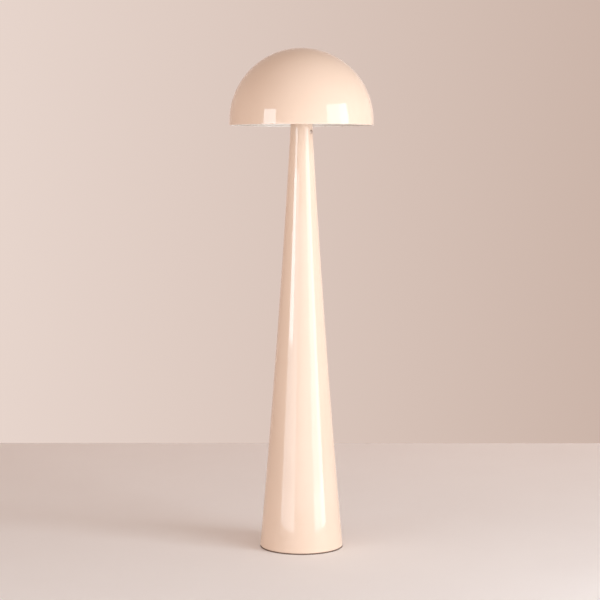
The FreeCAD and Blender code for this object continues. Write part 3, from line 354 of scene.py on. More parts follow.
switch_direction = Vector((math.cos(SWITCH_BEARING), math.sin(SWITCH_BEARING), 0))
inlet_lean = math.asin((flare_centre.y - INLET_Z) / FLARE_RADIUS)
inlet_direction = Vector((0, math.cos(inlet_lean), math.sin(inlet_lean)))
inlet_seat = Vector((0, column_radius(INLET_Z), INLET_Z))
column = turned("column", column_outline, enamel, steps=256)
for name, origin, direction, bore in (
        ("switch hole", Vector((0, 0, SWITCH_Z)), switch_direction, SWITCH_HOLE),
        ("inlet hole", inlet_seat - inlet_direction * DRILL_SET_BACK, inlet_direction, INLET_HOLE)):
    drill = turned(name, [
        (0, 0), (bore / 2, 0), (bore / 2, DRILL_LENGTH), (0, DRILL_LENGTH),
    ], enamel, steps=48, place=along_axis(origin, direction))
    hole = column.modifiers.new(name, "BOOLEAN")
    hole.operation, hole.object, hole.solver = "DIFFERENCE", drill, "EXACT"
    baked(column)
    bpy.data.objects.remove(drill)
dress(column, "stand", "column_enamel", "column_shell")

# --- cable inlet ---
# A moulded polyamide bush goes through the side, low at the back, and a nut inside holds
# it. It takes the supply cord where it comes in.

POLYAMIDE_BLACK = "#161617"
POLYAMIDE_SHEEN = "#212122"
SPARK_TEXTURE = 0.0004

# Glass-filled polyamide, moulded in a spark-eroded mould: black with a fine even grain.
black_plastic, tree, shader, place = start_material("Polyamide, moulded black")
spark = add_node(tree, "ShaderNodeTexNoise", {
    "Vector": place, "Scale": 1 / SPARK_TEXTURE, "Detail": 2.0})
blacks = add_node(tree, "ShaderNodeMix", {
    "Factor": spark, "A": linear(POLYAMIDE_BLACK), "B": linear(POLYAMIDE_SHEEN),
}, data_type="RGBA")
eroded = add_node(tree, "ShaderNodeBump", {"Height": spark, "Strength": 0.7, "Distance": 0.00002})
wire(tree, shader, {"Base Color": blacks, "Roughness": 0.48, "IOR": 1.53, "Normal": eroded})

GLAND_BORE, GLAND_BARREL, GLAND_FLANGE, GLAND_LENGTH = 0.0037, 0.0064, 0.0090, 0.009
GLAND_GRIP_RIBS, GLAND_RIB_DEPTH = 18, 0.00012
gland = turned("cable_gland_moulded", [
    (GLAND_BORE, -GLAND_LENGTH), (GLAND_BARREL - 0.0004, -GLAND_LENGTH),
    (GLAND_BARREL, 0.0004 - GLAND_LENGTH), (GLAND_BARREL, 0.0), (GLAND_FLANGE - 0.0002, 0.0),
    (GLAND_FLANGE, 0.0002, 1.0), (GLAND_FLANGE, 0.0008, 1.0),
    *arc((GLAND_FLANGE - 0.0008, 0.0012), 0.0008, 0, 90, 8),
    *arc((GLAND_BORE + 0.0007, 0.0013), 0.0007, 90, 180, 8),
    (GLAND_BORE, -GLAND_LENGTH),
], black_plastic, steps=144, place=along_axis(inlet_seat, inlet_direction),
    Ribs=GLAND_GRIP_RIBS, Rib_depth=-GLAND_RIB_DEPTH)
dress(gland, "stand", "black_plastic", "cable_gland")
finish_nodes(black_plastic, "gland_nut")

# --- terminal block and wires ---
# A white two-pole block, screwed to the ballast, joins the supply cord to the lead that
# climbs the column. Above the lead's sheath its cores go to the switch and the lampholder.

POLYESTER_WHITE = "#E9E7E1"
POLYESTER_SHADE = "#E1DED6"
SHEATH_WHITE = "#DCD9D1"
LIVE_BROWN = "#6B3D24"
NEUTRAL_BLUE = "#1F4A9A"
MOULD_FLOW = 0.006
PVC_LINES_PER_METRE = 600.0

# Glass-filled polyester and phenolic: opaque, slightly warm white with faint flow marks.
white_plastic, tree, shader, place = start_material("Polyester, moulded white")
flow = add_node(tree, "ShaderNodeTexNoise", {
    "Vector": place, "Scale": 1 / MOULD_FLOW, "Detail": 3.0})
whites = add_node(tree, "ShaderNodeMix", {
    "Factor": flow, "A": linear(POLYESTER_WHITE), "B": linear(POLYESTER_SHADE),
}, data_type="RGBA")
polish = add_node(tree, "ShaderNodeMapRange", {"Value": flow, "To Min": 0.28, "To Max": 0.4})
wire(tree, shader, {"Base Color": whites, "Roughness": polish, "IOR": 1.55})
finish_nodes(white_plastic, "terminal_block")
finish_nodes(zinc, "terminal_screws", "block_screws")

# Soft PVC, drawn over the wires: plain colours with a dull sheen and a faint drawn line.
for name, colour, wires in (
        ("PVC sheath, white", SHEATH_WHITE, ["riser_lead"]),
        ("PVC insulation, brown", LIVE_BROWN, ["live_wire", "switched_wire"]),
        ("PVC insulation, blue", NEUTRAL_BLUE, ["neutral_wire"])):
    pvc, tree, shader, place = start_material(name)
    drawn_line = add_node(tree, "ShaderNodeTexNoise", {
        "Vector": place, "Scale": PVC_LINES_PER_METRE})
    dull = add_node(tree, "ShaderNodeMapRange", {"Value": drawn_line, "To Min": 0.4, "To Max": 0.5})
    wire(tree, shader, {"Base Color": linear(colour), "Roughness": dull, "IOR": 1.53})
    finish_nodes(pvc, *wires)

# --- push button switch ---
# A small latching switch goes through the neck under the rim: a turned bezel, held by a
# nut inside, and a button that is pressed in. Its solder tags face into the neck.

# Both nickel greys are warmed by a painted reflection of the cream enamel.
NICKEL_WITH_PAINTED_CREAM_REFLECTION = "#D0BDB0"
NICKEL_DEEP_WITH_PAINTED_CREAM_REFLECTION = "#BFADA0"
TURNING_RING = 0.00025
BEZEL, BARREL, HOUSING, BUTTON = 0.0060, 0.0049, 0.0063, 0.0039
BEZEL_FACE, BARREL_LENGTH, HOUSING_LENGTH = 0.0018, 0.0120, 0.0090
BUTTON_FACE, BUTTON_LENGTH, SWITCH_BORE = 0.0032, 0.0080, 0.0040

switch_place = along_axis(
    switch_direction * column_radius(SWITCH_Z - BEZEL) + Vector((0, 0, SWITCH_Z)), switch_direction)

# Satin nickel plate on turned brass: fine rings about the switch's own axis, in a warm grey that is
# a painted reflection of the cream round it. A wave texture of scale 1 has a ring every 0.314 m.
WAVE_RING = 0.314
nickel, tree, shader, place = start_material("Brass, satin nickel plated")
centred = add_node(tree, "ShaderNodeMapping", {
    "Vector": place, "Location": Vector((0, 0, -SWITCH_Z))})
on_axis = add_node(tree, "ShaderNodeVectorRotate", {
    "Vector": centred, "Axis": (0, 0, 1), "Angle": -SWITCH_BEARING}, rotation_type="AXIS_ANGLE")
rings = add_node(tree, "ShaderNodeTexWave", {
    "Vector": on_axis, "Scale": WAVE_RING / TURNING_RING, "Distortion": 1.5, "Detail": 2.0,
    "Detail Scale": 0.3,
}, wave_type="RINGS", rings_direction="X")
metal = add_node(tree, "ShaderNodeMix", {
    "Factor": rings, "A": linear(NICKEL_WITH_PAINTED_CREAM_REFLECTION), "B": linear(NICKEL_DEEP_WITH_PAINTED_CREAM_REFLECTION),
}, data_type="RGBA")
turnings = add_node(tree, "ShaderNodeBump", {
    "Height": rings, "Strength": 0.4, "Distance": 0.000006})
wire(tree, shader, {"Base Color": metal, "Metallic": 1.0, "Roughness": 0.38, "Normal": turnings})

bore_floor = BUTTON_FACE - BUTTON_LENGTH - 0.002
switch = turned("switch_body_turned", [
    (0, -BARREL_LENGTH - HOUSING_LENGTH), (HOUSING - 0.0004, -BARREL_LENGTH - HOUSING_LENGTH),
    (HOUSING, -BARREL_LENGTH - HOUSING_LENGTH + 0.0004), (HOUSING, -BARREL_LENGTH),
    (BARREL, -BARREL_LENGTH), (BARREL, 0), (BEZEL, 0),
    *arc((BEZEL - 0.0005, BEZEL_FACE - 0.0005), 0.0005, 0, 90, 8),
    *arc((SWITCH_BORE + 0.0003, BEZEL_FACE - 0.0003), 0.0003, 90, 180, 5),
    (SWITCH_BORE, bore_floor), (0, bore_floor),
], nickel, place=switch_place)
dress(switch, "stand", "switch_nickel", "switch_body")
button = turned("switch_button_turned", [
    (0, BUTTON_FACE - BUTTON_LENGTH), (BUTTON, BUTTON_FACE - BUTTON_LENGTH),
    *arc((BUTTON - 0.0005, BUTTON_FACE - 0.0005), 0.0005, 0, 90, 8),
    (BUTTON * 0.6, BUTTON_FACE), (BUTTON * 0.3, BUTTON_FACE - 0.00015), (0, BUTTON_FACE - 0.0002),
], nickel, place=switch_place)
dress(button, "button", "switch_nickel", "switch_button")
finish_nodes(nickel, "switch_nut")

BRASS_YELLOW = "#D9B56C"
BRASS_DULL = "#C29D5A"
TOUCHES_PER_METRE = 220.0

# Half-hard brass strip and tube, bright from the press, a little dulled by handling.
brass, tree, shader, place = start_material("Brass, bright pressed")
dulled = add_node(tree, "ShaderNodeTexNoise", {
    "Vector": place, "Scale": TOUCHES_PER_METRE, "Detail": 3.0})
yellow = add_node(tree, "ShaderNodeMix", {
    "Factor": dulled, "A": linear(BRASS_YELLOW), "B": linear(BRASS_DULL),
}, data_type="RGBA")
handled = add_node(tree, "ShaderNodeMapRange", {"Value": dulled, "To Min": 0.18, "To Max": 0.34})
wire(tree, shader, {"Base Color": yellow, "Metallic": 1.0, "Roughness": handled})
finish_nodes(brass, "switch_tags")

# --- neck bush and shade seat ---
# A ring welded in the top of the neck carries a turned aluminium seat on three screws. The
# seat's flange, with a silicone ring on it, takes the shade's hub; its spigot centres it.

ALUMINIUM_BRIGHT = "#CDCFD2"
ALUMINIUM_DEEP = "#BFC1C5"
LATHE_FEED = 0.0004
BLOOM_PER_METRE = 300.0
SILICONE_PALE = "#D8D8D2"

# Free-cutting aluminium, plain from the lathe: rings one feed apart about the lamp's axis.
aluminium, tree, shader, place = start_material("Aluminium, turned")
feed = add_node(tree, "ShaderNodeTexWave", {
    "Vector": place, "Scale": WAVE_RING / LATHE_FEED, "Distortion": 0.8, "Detail": 2.0,
}, wave_type="RINGS", rings_direction="Z")
bright = add_node(tree, "ShaderNodeMix", {
    "Factor": feed, "A": linear(ALUMINIUM_BRIGHT), "B": linear(ALUMINIUM_DEEP),
}, data_type="RGBA")
lathed = add_node(tree, "ShaderNodeBump", {"Height": feed, "Strength": 0.5, "Distance": 0.00001})
wire(tree, shader, {"Base Color": bright, "Metallic": 1.0, "Roughness": 0.3, "Normal": lathed})
finish_nodes(aluminium, "shade_seat")
finish_nodes(zinc, "neck_bush", "seat_screws")

# Silicone sheet, die cut: milky, faintly see-through and matt.
silicone, tree, shader, place = start_material("Silicone rubber, die cut")
bloom = add_node(tree, "ShaderNodeTexNoise", {
    "Vector": place, "Scale": BLOOM_PER_METRE, "Detail": 2.0})
matt = add_node(tree, "ShaderNodeMapRange", {"Value": bloom, "To Min": 0.5, "To Max": 0.65})
wire(tree, shader, {
    "Base Color": linear(SILICONE_PALE), "Roughness": matt, "IOR": 1.41,
    "Subsurface Weight": 0.4, "Subsurface Scale": 0.002,
})
finish_nodes(silicone, "seat_gasket")

# --- threaded tube ---
# A hollow M10 x 1 steel tube, held on the seat between two nuts and washers, carries the
# lampholder and lets the wires through.

TUBE_RADIUS, TUBE_BORE, TUBE_FOOT, TUBE_TOP = 0.0050, 0.0036, 1.283, 1.312


def threaded_side(radius, low, high, pitch, run_out=1.0):
    """A wall going up with rows fine enough for its thread, which fades at both ends."""
    rows = int((high - low) / pitch * 8)
    side = []
    for step in range(rows + 1):
        z = low + (high - low) * step / rows
        fade = min(1.0, (z - low) / (pitch * run_out), (high - z) / (pitch * run_out))
        side.append((radius, z, fade))
    return side


TUBE_THREAD = 0.0003
tube = turned("threaded_tube_cut", [
    (TUBE_BORE, TUBE_FOOT), (TUBE_RADIUS - 0.0006, TUBE_FOOT),
    *threaded_side(TUBE_RADIUS - TUBE_THREAD, TUBE_FOOT + 0.0003, TUBE_TOP - 0.0003, 0.001),
    (TUBE_RADIUS - 0.0006, TUBE_TOP), (TUBE_BORE, TUBE_TOP), (TUBE_BORE, TUBE_FOOT),
], zinc, steps=48, Thread_pitch=0.001, Thread_depth=TUBE_THREAD)
dress(tube, "stand", "zinc_steel", "threaded_tube")
finish_nodes(zinc, "tube_washers", "tube_nuts")

# --- lampholder ---
# A moulded lampholder for a 27 mm screw cap: a cap screwed on the tube, a ribbed skirt,
# and inside them the block with the brass screw shell and the sprung centre contact.

HOLDER_Z, SKIRT_Z, SKIRT_TOP = 1.304, 1.326, 1.358
HOLDER_RADIUS, HOLDER_WALL, COLLAR_RADIUS = 0.0195, 0.0018, 0.0080
BEND_Z = TUBE_TOP + HOLDER_RADIUS - COLLAR_RADIUS - HOLDER_WALL
holder_inner = HOLDER_RADIUS - HOLDER_WALL
MOUTH_RADIUS = 0.0155
GRIP_RIBS = 36
GRIP_RIB_DEPTH = 0.00025

holder_cap = turned("lampholder_cap_moulded", [
    (TUBE_RADIUS, HOLDER_Z), (COLLAR_RADIUS - 0.0004, HOLDER_Z), (COLLAR_RADIUS, HOLDER_Z + 0.0004),
    *arc((COLLAR_RADIUS, BEND_Z), HOLDER_RADIUS - COLLAR_RADIUS, -90, 0, 24),
    (HOLDER_RADIUS, SKIRT_Z - 0.0004), (HOLDER_RADIUS - 0.0003, SKIRT_Z), (holder_inner, SKIRT_Z),
    *arc((COLLAR_RADIUS, BEND_Z), holder_inner - COLLAR_RADIUS, 0, -90, 16),
    (TUBE_RADIUS, TUBE_TOP), (TUBE_RADIUS, HOLDER_Z),
], white_plastic)
dress(holder_cap, "stand", "white_plastic", "lampholder_cap")

grip = [(HOLDER_RADIUS - GRIP_RIB_DEPTH, z, fade) for z, fade in (
    (1.3290, 0.0), (1.3296, 0.6), (1.3304, 1.0), (1.3400, 1.0),
    (1.3496, 1.0), (1.3504, 0.6), (1.3510, 0.0))]
skirt = turned("lampholder_skirt_moulded", [
    (holder_inner, SKIRT_Z), (HOLDER_RADIUS - 0.0003, SKIRT_Z), (HOLDER_RADIUS, SKIRT_Z + 0.0004),
    (HOLDER_RADIUS, 1.3284), *grip, (HOLDER_RADIUS, 1.3516),
    *arc((HOLDER_RADIUS - 0.0009, SKIRT_TOP - 0.0009), 0.0009, 0, 90, 8),
    (MOUTH_RADIUS + 0.0004, SKIRT_TOP), (MOUTH_RADIUS, SKIRT_TOP - 0.0004),
    (MOUTH_RADIUS, SKIRT_TOP - HOLDER_WALL), (holder_inner, SKIRT_TOP - HOLDER_WALL),
    (holder_inner, SKIRT_Z),
], white_plastic, steps=GRIP_RIBS * 8, Ribs=GRIP_RIBS, Rib_depth=GRIP_RIB_DEPTH)
dress(skirt, "stand", "white_plastic", "lampholder_skirt")

SHELL_Z, SHELL_TOP, SHELL_BORE, SHELL_WALL = 1.3297, 1.3537, 0.0135, 0.0005
ROUND_THREAD = 0.00362
outer_thread = threaded_side(SHELL_BORE + SHELL_WALL, SHELL_Z, SHELL_TOP, ROUND_THREAD, 0.4)
inner_thread = [(r - SHELL_WALL, z, fade) for r, z, fade in reversed(outer_thread)]
contact_shell = turned("contact_shell_rolled", [*outer_thread, *inner_thread, outer_thread[0]],
                       brass, Thread_pitch=ROUND_THREAD, Thread_depth=0.00028)
dress(contact_shell, "stand", "contact_brass", "contact_shell")
finish_nodes(brass, "contact_tongue")
finish_nodes(white_plastic, "contact_block")

# --- bulb ---
# A 60 mm globe bulb: a nickel-plated screw cap with a soldered tip in black glass, a white
# moulded body, and a frosted polycarbonate globe.

CAP_NICKEL = "#C9C7C2"
VITRITE_BLACK = "#0E0E12"
BODY_WHITE = "#EDEBE6"
OPAL_WHITE = "#F2EFE9"
FROST = 0.0005
TIP_Z, TIP_HEIGHT, TIP_RADIUS, SOLDER_CURVE = 1.334, 0.002, 0.0045, 0.0058
CAP_Z, CAP_TOP, CAP_RADIUS, CAP_THREAD = 1.340, 1.360, 0.0131, 0.0004
BODY_FOOT, BODY_MOUTH, BODY_TOP, BODY_HOLLOW = 0.0135, 0.0270, 1.392, 0.0025
GLOBE_RADIUS, GLOBE_Z = 0.030, 1.412
WIPES_PER_METRE, RIPPLES_PER_METRE, SINKS_PER_METRE = 260.0, 400.0, 90.0

cap_nickel, tree, shader, place = start_material("Brass, nickel plated cap")
wipe = add_node(tree, "ShaderNodeTexNoise", {
    "Vector": place, "Scale": WIPES_PER_METRE, "Detail": 3.0})
wiped = add_node(tree, "ShaderNodeMapRange", {"Value": wipe, "To Min": 0.2, "To Max": 0.36})
wire(tree, shader, {"Base Color": linear(CAP_NICKEL), "Metallic": 1.0, "Roughness": wiped})

# Vitrite, the black glass cast round the tip: glossy, with a slight ripple.
vitrite, tree, shader, place = start_material("Vitrite, black glass")
ripple = add_node(tree, "ShaderNodeTexNoise", {"Vector": place, "Scale": RIPPLES_PER_METRE})
rippled = add_node(tree, "ShaderNodeBump", {"Height": ripple, "Strength": 0.4, "Distance": 0.00004})
wire(tree, shader, {
    "Base Color": linear(VITRITE_BLACK), "Roughness": 0.12, "IOR": 1.52, "Normal": rippled})

# Polycarbonate, moulded white with a half gloss.
bulb_white, tree, shader, place = start_material("Polycarbonate, moulded white")
sink = add_node(tree, "ShaderNodeTexNoise", {"Vector": place, "Scale": SINKS_PER_METRE})
half_gloss = add_node(tree, "ShaderNodeMapRange", {"Value": sink, "To Min": 0.26, "To Max": 0.34})
wire(tree, shader, {"Base Color": linear(BODY_WHITE), "Roughness": half_gloss, "IOR": 1.58})

# Opal polycarbonate, frosted inside: light sinks in a little, so its shading is soft.
opal, tree, shader, place = start_material("Polycarbonate, opal frosted")
frost = add_node(tree, "ShaderNodeTexNoise", {"Vector": place, "Scale": 1 / FROST, "Detail": 2.0})
frosted = add_node(tree, "ShaderNodeBump", {"Height": frost, "Strength": 0.3, "Distance": 0.00001})
wire(tree, shader, {
    "Base Color": linear(OPAL_WHITE), "Roughness": 0.42, "IOR": 1.58, "Normal": frosted,
    "Subsurface Weight": 0.3, "Subsurface Scale": 0.004,
})

tip = turned("bulb_tip_soldered", [
    *arc((0, TIP_Z + SOLDER_CURVE), SOLDER_CURVE, -90, -48, 8),
    (TIP_RADIUS, TIP_Z + TIP_HEIGHT), (0, TIP_Z + TIP_HEIGHT),
], brass, steps=48)
dress(tip, "bulb", "contact_brass", "bulb_tip")
insulator = turned("bulb_insulator_cast", [
    (0, TIP_Z + TIP_HEIGHT), (TIP_RADIUS, TIP_Z + TIP_HEIGHT), (0.0075, 1.3370), (0.0104, 1.3387),
    (CAP_RADIUS - 0.001, CAP_Z), (0, CAP_Z),
], vitrite, steps=64)
dress(insulator, "bulb", "insulator_glass", "bulb_insulator")
cap = turned("bulb_cap_threaded", [
    (0, CAP_Z), (CAP_RADIUS - 0.0012, CAP_Z),
    *threaded_side(CAP_RADIUS - CAP_THREAD, CAP_Z + 0.0004, CAP_TOP - 0.0035, ROUND_THREAD, 0.5),
    (CAP_RADIUS - 0.0003, CAP_TOP - 0.003), (CAP_RADIUS, CAP_TOP - 0.0025),
    (CAP_RADIUS, CAP_TOP), (0, CAP_TOP),
], cap_nickel, Thread_pitch=ROUND_THREAD, Thread_depth=CAP_THREAD)
dress(cap, "bulb", "bulb_cap_metal", "bulb_cap")

body_side = []
body_slope = math.hypot(BODY_TOP - CAP_TOP, BODY_MOUTH - BODY_FOOT)
for step in range(25):
    t = step / 24
    hollow = 4 * t * (1 - t) * BODY_HOLLOW / body_slope
    body_side.append((
        BODY_FOOT + (BODY_MOUTH - BODY_FOOT) * t - (BODY_TOP - CAP_TOP) * hollow,
        CAP_TOP + (BODY_TOP - CAP_TOP) * t + (BODY_MOUTH - BODY_FOOT) * hollow))
bulb_body = turned("bulb_body_moulded", [(0, CAP_TOP), *body_side, (0, BODY_TOP)], bulb_white)
dress(bulb_body, "bulb", "bulb_white", "bulb_body")
pull_in = GLOBE_RADIUS - BODY_MOUTH
side_radius = ((GLOBE_Z - BODY_TOP) ** 2 / pull_in + pull_in) / 2
side_start = -math.degrees(math.asin((GLOBE_Z - BODY_TOP) / side_radius))
globe = turned("bulb_globe_blown", [
    (0, BODY_TOP), *arc((GLOBE_RADIUS - side_radius, GLOBE_Z), side_radius, side_start, 0, 12),
    *arc((0, GLOBE_Z), GLOBE_RADIUS, 3, 90, 30),
], opal)
dress(globe, "bulb", "bulb_opal", "bulb_globe")

# --- shade ---
# A half sphere spun from sheet steel on a short straight skirt, its rim rolled inwards to a
# bead. It is enamelled cream outside, like the column, and gloss white inside.

SHADE_RADIUS, SHADE_WALL, RIM_BEAD = 0.215, 0.001, 0.0016
RIM_Z, DOME_Z = 1.271, 1.285
INSIDE_WHITE = "#F7F1EA"
INSIDE_WHITE_DEEP = "#F4EDE5"

bead_centre = (SHADE_RADIUS - RIM_BEAD, RIM_Z + RIM_BEAD)
shade_inner = SHADE_RADIUS - SHADE_WALL
bead_join = math.degrees(math.acos((shade_inner - bead_centre[0]) / RIM_BEAD))
shade_outline = [
    *arc(bead_centre, RIM_BEAD, -90, 0, 8), (SHADE_RADIUS, 1.276), (SHADE_RADIUS, 1.280),
    *arc((0, DOME_Z), SHADE_RADIUS, 0, 90, 110), *arc((0, DOME_Z), shade_inner, 90, 0, 80),
    (shade_inner, 1.280), *arc(bead_centre, RIM_BEAD, bead_join, 270, 22),
]

# The same stoving enamel, sprayed twice: cream outside, and white inside from the bead up.
shade_enamel, tree, shader, place = start_material("Stoving enamel, cream and white")
parts = add_node(tree, "ShaderNodeSeparateXYZ", {"Vector": place}).outputs
over_rim = add_node(tree, "ShaderNodeMath", {0: parts["Z"], 1: DOME_Z}, operation="SUBTRACT")
height = add_node(tree, "ShaderNodeMath", {0: over_rim, 1: 0.0}, operation="MAXIMUM")
from_centre = add_node(tree, "ShaderNodeVectorMath", {
    0: add_node(tree, "ShaderNodeCombineXYZ", {"X": parts["X"], "Y": parts["Y"], "Z": height}),
}, operation="LENGTH").outputs["Value"]
outside = add_node(tree, "ShaderNodeMath", {
    0: from_centre, 1: SHADE_RADIUS - SHADE_WALL / 2}, operation="GREATER_THAN")
patch = add_node(tree, "ShaderNodeTexNoise", {
    "Vector": place, "Scale": 1 / FLOW_PATCH, "Detail": 2.0})
cream = add_node(tree, "ShaderNodeMix", {
    "Factor": patch, "A": linear(CREAM), "B": linear(CREAM_DEEP),
}, data_type="RGBA")
white = add_node(tree, "ShaderNodeMix", {
    "Factor": patch, "A": linear(INSIDE_WHITE), "B": linear(INSIDE_WHITE_DEEP),
}, data_type="RGBA")
both = add_node(tree, "ShaderNodeMix", {
    "Factor": outside, "A": white.outputs[2], "B": cream.outputs[2],
}, data_type="RGBA")
gloss = add_node(tree, "ShaderNodeMapRange", {
    "Value": patch, "To Min": ENAMEL_GLOSSIEST, "To Max": ENAMEL_DULLEST})
peel = add_node(tree, "ShaderNodeTexNoise", {
    "Vector": place, "Scale": 1 / ORANGE_PEEL, "Detail": 1.0})
wave = add_node(tree, "ShaderNodeTexNoise", {
    "Vector": place, "Scale": 1 / SPINNING_WAVE, "Detail": 1.0})
waves = add_node(tree, "ShaderNodeBump", {"Height": wave, "Strength": 1.0, "Distance": WAVE_DEPTH})
peeled = add_node(tree, "ShaderNodeBump", {
    "Height": peel, "Strength": 1.0, "Distance": PEEL_DEPTH, "Normal": waves})
wire(tree, shader, {"Base Color": both, "Roughness": gloss, "IOR": 1.5, "Normal": peeled})
shade = turned("shade", shade_outline, shade_enamel, steps=256)
dress(shade, "shade", "shade_enamel", "shade_shell")

# --- spider, weld spots and studs ---
# Three bent bars, spot welded to a ring, carry the shade on the seat. Each ends on a stud
# that is welded inside the shade, with a washer and a nut, so nothing shows outside.

finish_nodes(zinc, "spider_hub", "spider_arms", "stud_washers", "stud_nuts")

ARM_BEARINGS = (90, 210, 330)
ARM_TOP_Z = 1.299
SPOT_RADIUS = 0.0018
SPOT_RISE = 0.00018
SPOTS_AT = (0.0400, 0.0440)

# Resistance welds: each spot is a shallow button with a pressed ring round it.
spots_tree = bpy.data.node_groups.new("Weld spots", "GeometryNodeTree")
spots_inputs = {
    title: spots_tree.interface.new_socket(title, in_out="INPUT", socket_type=kind).identifier
    for title, kind in (("Places", "NodeSocketGeometry"), ("Spot radius", "NodeSocketFloat"),
                        ("Spot rise", "NodeSocketFloat"), ("Finish", "NodeSocketMaterial"))
}
spots_tree.interface.new_socket("Spots", in_out="OUTPUT", socket_type="NodeSocketGeometry")
tree = spots_tree
asked = add_node(tree, "NodeGroupInput").outputs
ball = add_node(tree, "GeometryNodeMeshUVSphere", {
    "Segments": 24, "Rings": 12, "Radius": asked["Spot radius"]}).outputs["Mesh"]
flat = add_node(tree, "ShaderNodeMath", {
    0: asked["Spot rise"], 1: asked["Spot radius"]}, operation="DIVIDE")
squash = add_node(tree, "ShaderNodeCombineXYZ", {"X": 1.0, "Y": 1.0, "Z": flat})
placed = add_node(tree, "GeometryNodeInstanceOnPoints", {
    "Points": asked["Places"], "Instance": ball, "Scale": squash})
realized = add_node(tree, "GeometryNodeRealizeInstances", {"Geometry": placed})
finished = add_node(tree, "GeometryNodeSetMaterial", {
    "Geometry": realized, "Material": asked["Finish"]})
add_node(tree, "NodeGroupOutput", {"Spots": finished})

spot_mesh = bpy.data.meshes.new("weld_spots")
spot_mesh.from_pydata([
    (reach * math.cos(math.radians(bearing)), reach * math.sin(math.radians(bearing)), ARM_TOP_Z)
    for bearing in ARM_BEARINGS for reach in SPOTS_AT], [], [])
weld_spots = bpy.data.objects.new("weld_spots", spot_mesh)
bpy.context.scene.collection.objects.link(weld_spots)
welder = weld_spots.modifiers.new("Weld spots", "NODES")
welder.node_group = spots_tree
for title, value in (("Spot radius", SPOT_RADIUS), ("Spot rise", SPOT_RISE), ("Finish", zinc)):
    welder[spots_inputs[title]] = value
baked(weld_spots)
dress(weld_spots, "shade", "zinc_steel")

ARM_END_RISE = 0.040
STUD_RADIUS, STUD_FLANGE, STUD_FLANGE_THICK, STUD_LENGTH = 0.0020, 0.0028, 0.0008, 0.0085
STUD_PITCH, STUD_THREAD = 0.0007, 0.0002
WELD_GAP, THREAD_START = 0.00002, 0.0036
lift = math.asin(ARM_END_RISE / shade_inner)
studs = turned("shade_studs_threaded", [
    (0, WELD_GAP), (STUD_FLANGE, WELD_GAP), (STUD_FLANGE, STUD_FLANGE_THICK),
    (STUD_RADIUS, STUD_FLANGE_THICK),
    *threaded_side(STUD_RADIUS - STUD_THREAD, THREAD_START, STUD_LENGTH - 0.0002, STUD_PITCH),
    (STUD_RADIUS - 0.0005, STUD_LENGTH), (0, STUD_LENGTH),
], zinc, steps=32, Thread_pitch=STUD_PITCH, Thread_depth=STUD_THREAD)
one_stud = studs.data
stud_places = []
for bearing in ARM_BEARINGS:
    out = Vector((math.cos(lift) * math.cos(math.radians(bearing)),
                  math.cos(lift) * math.sin(math.radians(bearing)), math.sin(lift)))
    stud_places.append(along_axis(out * shade_inner + Vector((0, 0, DOME_Z)), -out))
three_studs = bmesh.new()
for stud_place in stud_places:
    set_in = one_stud.copy()
    set_in.transform(stud_place)
    three_studs.from_mesh(set_in)
    bpy.data.meshes.remove(set_in)
three_studs.to_mesh(one_stud)
three_studs.free()
dress(studs, "shade", "zinc_steel", "shade_studs")

# --- floor, wall and light ---
# The lamp stands on pale micro-cement in front of a painted wall. Tall softboxes stand at
# its left and right and low pale boards before it, in daylight that is fainter from above.

FLOOR_PALE = "#F6EFEB"
FLOOR_PALER = "#FAF4F0"
WALL_PALE = "#D8C8BF"
# The seen wall's two colours are painted light at its left and painted shade at its right.
WALL_PAINTED_LIT_LEFT, WALL_PAINTED_SHADE_RIGHT = "#E7D5CC", "#CCB5A9"
WALL_Y, WALL_LEFT_END, WALL_TOP = 1.85, -4.0, 2.2
FLOOR_REACH = 9
WALL_SHADING = 0.18
DAYLIGHT, DAYLIGHT_LEVEL, DAYLIGHT_ABOVE = "#FFE7DA", 0.80, 0.46
SOFTBOX_WHITE = "#E6F5FF"
WATTS_AT_WHITE = 4
SWEEPS_PER_METRE, FINES_PER_METRE, ROLLER_MARKS_PER_METRE = 2.2, 160.0, 120.0

cement, tree, shader, place = start_material("Micro-cement, trowelled")
trowel = add_node(tree, "ShaderNodeTexNoise", {
    "Vector": place, "Scale": SWEEPS_PER_METRE, "Detail": 4.0, "Roughness": 0.6})
pale = add_node(tree, "ShaderNodeMix", {
    "Factor": trowel, "A": linear(FLOOR_PALE), "B": linear(FLOOR_PALER),
}, data_type="RGBA")
fines = add_node(tree, "ShaderNodeTexNoise", {
    "Vector": place, "Scale": FINES_PER_METRE, "Detail": 3.0})
trowelled = add_node(tree, "ShaderNodeBump", {"Height": fines, "Strength": 0.3, "Distance": 0.0002})
wire(tree, shader, {
    "Base Color": pale, "Roughness": 0.7, "Specular IOR Level": 0.2, "Normal": trowelled})

painted, tree, shader, place = start_material("Emulsion paint, matt")
rolled_on = add_node(tree, "ShaderNodeTexNoise", {"Vector": place, "Scale": ROLLER_MARKS_PER_METRE})
lap = add_node(tree, "ShaderNodeMapRange", {"Value": rolled_on, "To Min": 0.75, "To Max": 0.85})
wire(tree, shader, {"Base Color": linear(WALL_PALE), "Roughness": lap})

for name, finish, corners in (
        ("floor", cement, [
            (-FLOOR_REACH, -FLOOR_REACH, 0), (FLOOR_REACH, -FLOOR_REACH, 0),
            (FLOOR_REACH, WALL_Y, 0), (-FLOOR_REACH, WALL_Y, 0)]),
        ("wall", painted, [
            (WALL_LEFT_END, WALL_Y, 0), (FLOOR_REACH, WALL_Y, 0),
            (FLOOR_REACH, WALL_Y, WALL_TOP), (WALL_LEFT_END, WALL_Y, WALL_TOP)])):
    mesh = bpy.data.meshes.new(name)
    mesh.from_pydata(corners, [], [(0, 1, 2, 3)])
    mesh.materials.append(finish)
    plane = bpy.data.objects.new(name, mesh)
    bpy.context.scene.collection.objects.link(plane)
    plane.visible_camera = name == "floor"
